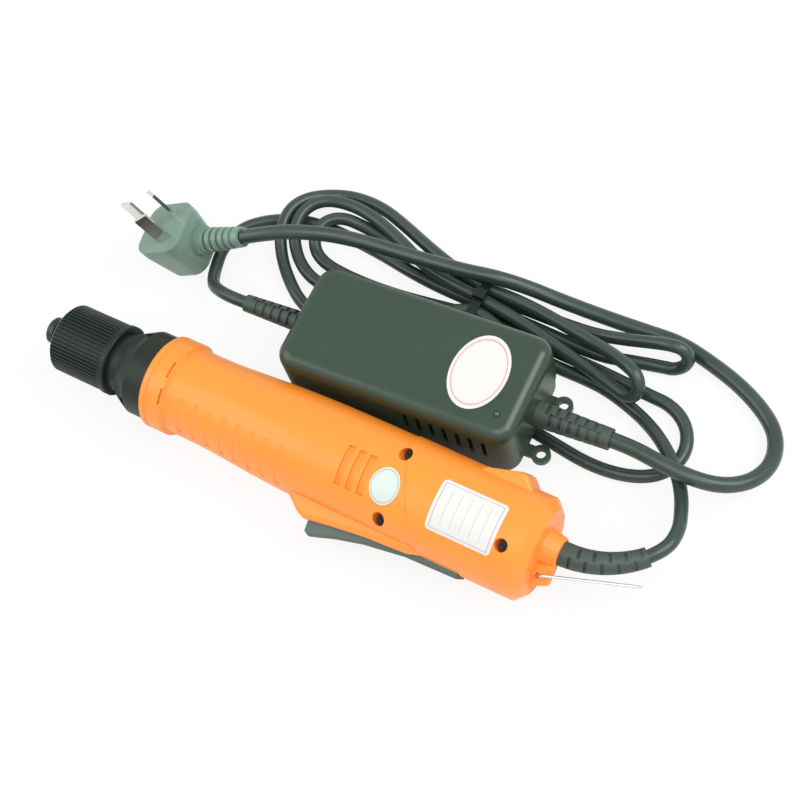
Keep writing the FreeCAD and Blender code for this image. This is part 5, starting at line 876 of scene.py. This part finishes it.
@dataclass
class SupplyDress:
    """Oval label on the power supply's cover."""

    x: float = 32.0
    y: float = 0.0
    length: float = 0.0255
    width: float = 0.036
    paper: Colour = (0.72, 0.71, 0.69)
    ink: Colour = (0.60, 0.12, 0.08)
    press_from: float = 0.01

    def build(self) -> None:
        """Lay the blank oval label."""
        matrix = supply_matrix(self.x, self.y, SUPPLY_TOP)
        paper = PlainPaper(
            "blank_oval", tuple(matrix.translation), tuple(matrix.to_euler()),
            self.length / 2, self.width / 2, True, self.paper, self.ink,
        )
        label = Label(
            "supply_label", Carrier.SUPPLY_COVER, "housing", "supply_plastic",
            self.length, self.width, 0.0, True,
        )
        label.press(matrix, self.press_from, paper.build())
        LOG.info("power supply dressed")


# Studio


@dataclass
class Studio:
    """Pale floor, soft lights and the camera at the photograph's angle."""

    camera_place: Point = (0.24568, -0.19645, 0.60389)
    camera_right: Point = (0.86146, 0.48113, -0.16250)
    camera_up: Point = (-0.37321, 0.81681, 0.43993)
    camera_ahead: Point = (-0.34440, 0.31834, -0.88321)
    lens: float = 67.57
    sensor_width: float = 36.0
    nearest: float = 0.01
    world_on_object: float = 0.55
    world_seen: float = 1.0
    floor_size: float = 6.0
    floor_height: float = -0.0002
    floor_tone: float = 0.86
    floor_roughness: float = 0.9
    floor_glow: float = 0.86
    lamps: tuple[tuple[str, Point, float, float], ...] = (
        ("key_lamp", (0.75, 0.35, 1.0), 0.8, 9.0),
        ("fill_lamp", (-0.9, -0.5, 0.9), 1.0, 5.5),
        ("top_lamp", (0.35, -0.45, 1.4), 1.0, 7.0),
    )

    def build(self) -> None:
        """Set up the camera, the world, the floor and the lamps."""
        self.place_camera()
        self.light_world()
        self.lay_floor()
        for name, place, size, power in self.lamps:
            self.hang_lamp(name, Vector(place), size, power)
        bpy.context.scene.view_settings.view_transform = "Standard"
        LOG.info("studio built")

    def place_camera(self) -> None:
        """Camera at the photograph's viewing angle."""
        data = bpy.data.cameras.new("photo_camera")
        data.lens = self.lens
        data.sensor_width = self.sensor_width
        data.clip_start = self.nearest
        camera = bpy.data.objects.new("photo_camera", data)
        columns = (Vector(self.camera_right), Vector(self.camera_up), -Vector(self.camera_ahead))
        turn = Matrix(columns).transposed().to_4x4()
        camera.matrix_world = Matrix.Translation(Vector(self.camera_place)) @ turn
        bpy.context.scene.collection.objects.link(camera)
        bpy.context.scene.camera = camera

    def light_world(self) -> None:
        """White surroundings for the camera and in reflections, softer light on the object."""
        world = bpy.data.worlds.new("studio_world")
        bpy.context.scene.world = world
        world.use_nodes = True
        nodes = world.node_tree.nodes
        links = world.node_tree.links
        path = nodes.new("ShaderNodeLightPath")
        seen = nodes.new("ShaderNodeMath")
        seen.operation = "MAXIMUM"
        links.new(path.outputs["Is Camera Ray"], seen.inputs[0])
        links.new(path.outputs["Is Glossy Ray"], seen.inputs[1])
        strength = nodes.new("ShaderNodeMapRange")
        links.new(seen.outputs[0], strength.inputs["Value"])
        strength.inputs["To Min"].default_value = self.world_on_object
        strength.inputs["To Max"].default_value = self.world_seen
        background = nodes["Background"]
        background.inputs["Color"].default_value = (1.0, 1.0, 1.0, 1.0)
        links.new(strength.outputs[0], background.inputs["Strength"])

    def lay_floor(self) -> None:
        """Pale floor that shows white with the object's shadow on it."""
        bpy.ops.object.select_all(action="DESELECT")
        bpy.ops.mesh.primitive_plane_add(size=self.floor_size, location=(0, 0, self.floor_height))
        floor = bpy.context.active_object
        floor.name = "studio_floor"
        sheet = MaterialSheet("floor_paper")
        tone = (self.floor_tone, self.floor_tone, self.floor_tone)
        sheet.surface(Base_Color=opaque(tone), Roughness=self.floor_roughness)
        glow = sheet.tree.nodes.new("ShaderNodeEmission")
        glow.inputs["Strength"].default_value = 1.0
        path = sheet.add("ShaderNodeLightPath", {}, {}, "Is Camera Ray")
        mix = sheet.tree.nodes.new("ShaderNodeMixShader")
        sheet.feed(mix.inputs[0], path * self.floor_glow)
        sheet.tree.links.new(sheet.shader.outputs[0], mix.inputs[1])
        sheet.tree.links.new(glow.outputs[0], mix.inputs[2])
        sheet.tree.links.new(mix.outputs[0], sheet.output.inputs["Surface"])
        floor.data.materials.append(sheet.material)

    def hang_lamp(self, name: str, place: Vector, size: float, power: float) -> None:
        """Square soft lamp that faces the object.

        Args:
            name: Name of the lamp.
            place: Where it hangs.
            size: Length of its side.
            power: Its power in watts.
        """
        data = bpy.data.lights.new(name, "AREA")
        data.shape = "SQUARE"
        data.size = size
        data.energy = power
        lamp = bpy.data.objects.new(name, data)
        turn = place.to_track_quat("Z", "Y").to_matrix().to_4x4()
        lamp.matrix_world = Matrix.Translation(place) @ turn
        bpy.context.scene.collection.objects.link(lamp)


def main() -> None:
    """Dress the model piece by piece."""
    logging.basicConfig(level=logging.INFO, format="%(name)s: %(message)s")
    rack = FinishRack(FINISHES)
    Studio().build()
    rack.dress_nodes(frame["record"], frame["nodes"])
    CordSet(rack).build()
    ScrewdriverDress().build()
    SupplyDress().build()


if __name__ == "__main__":
    main()
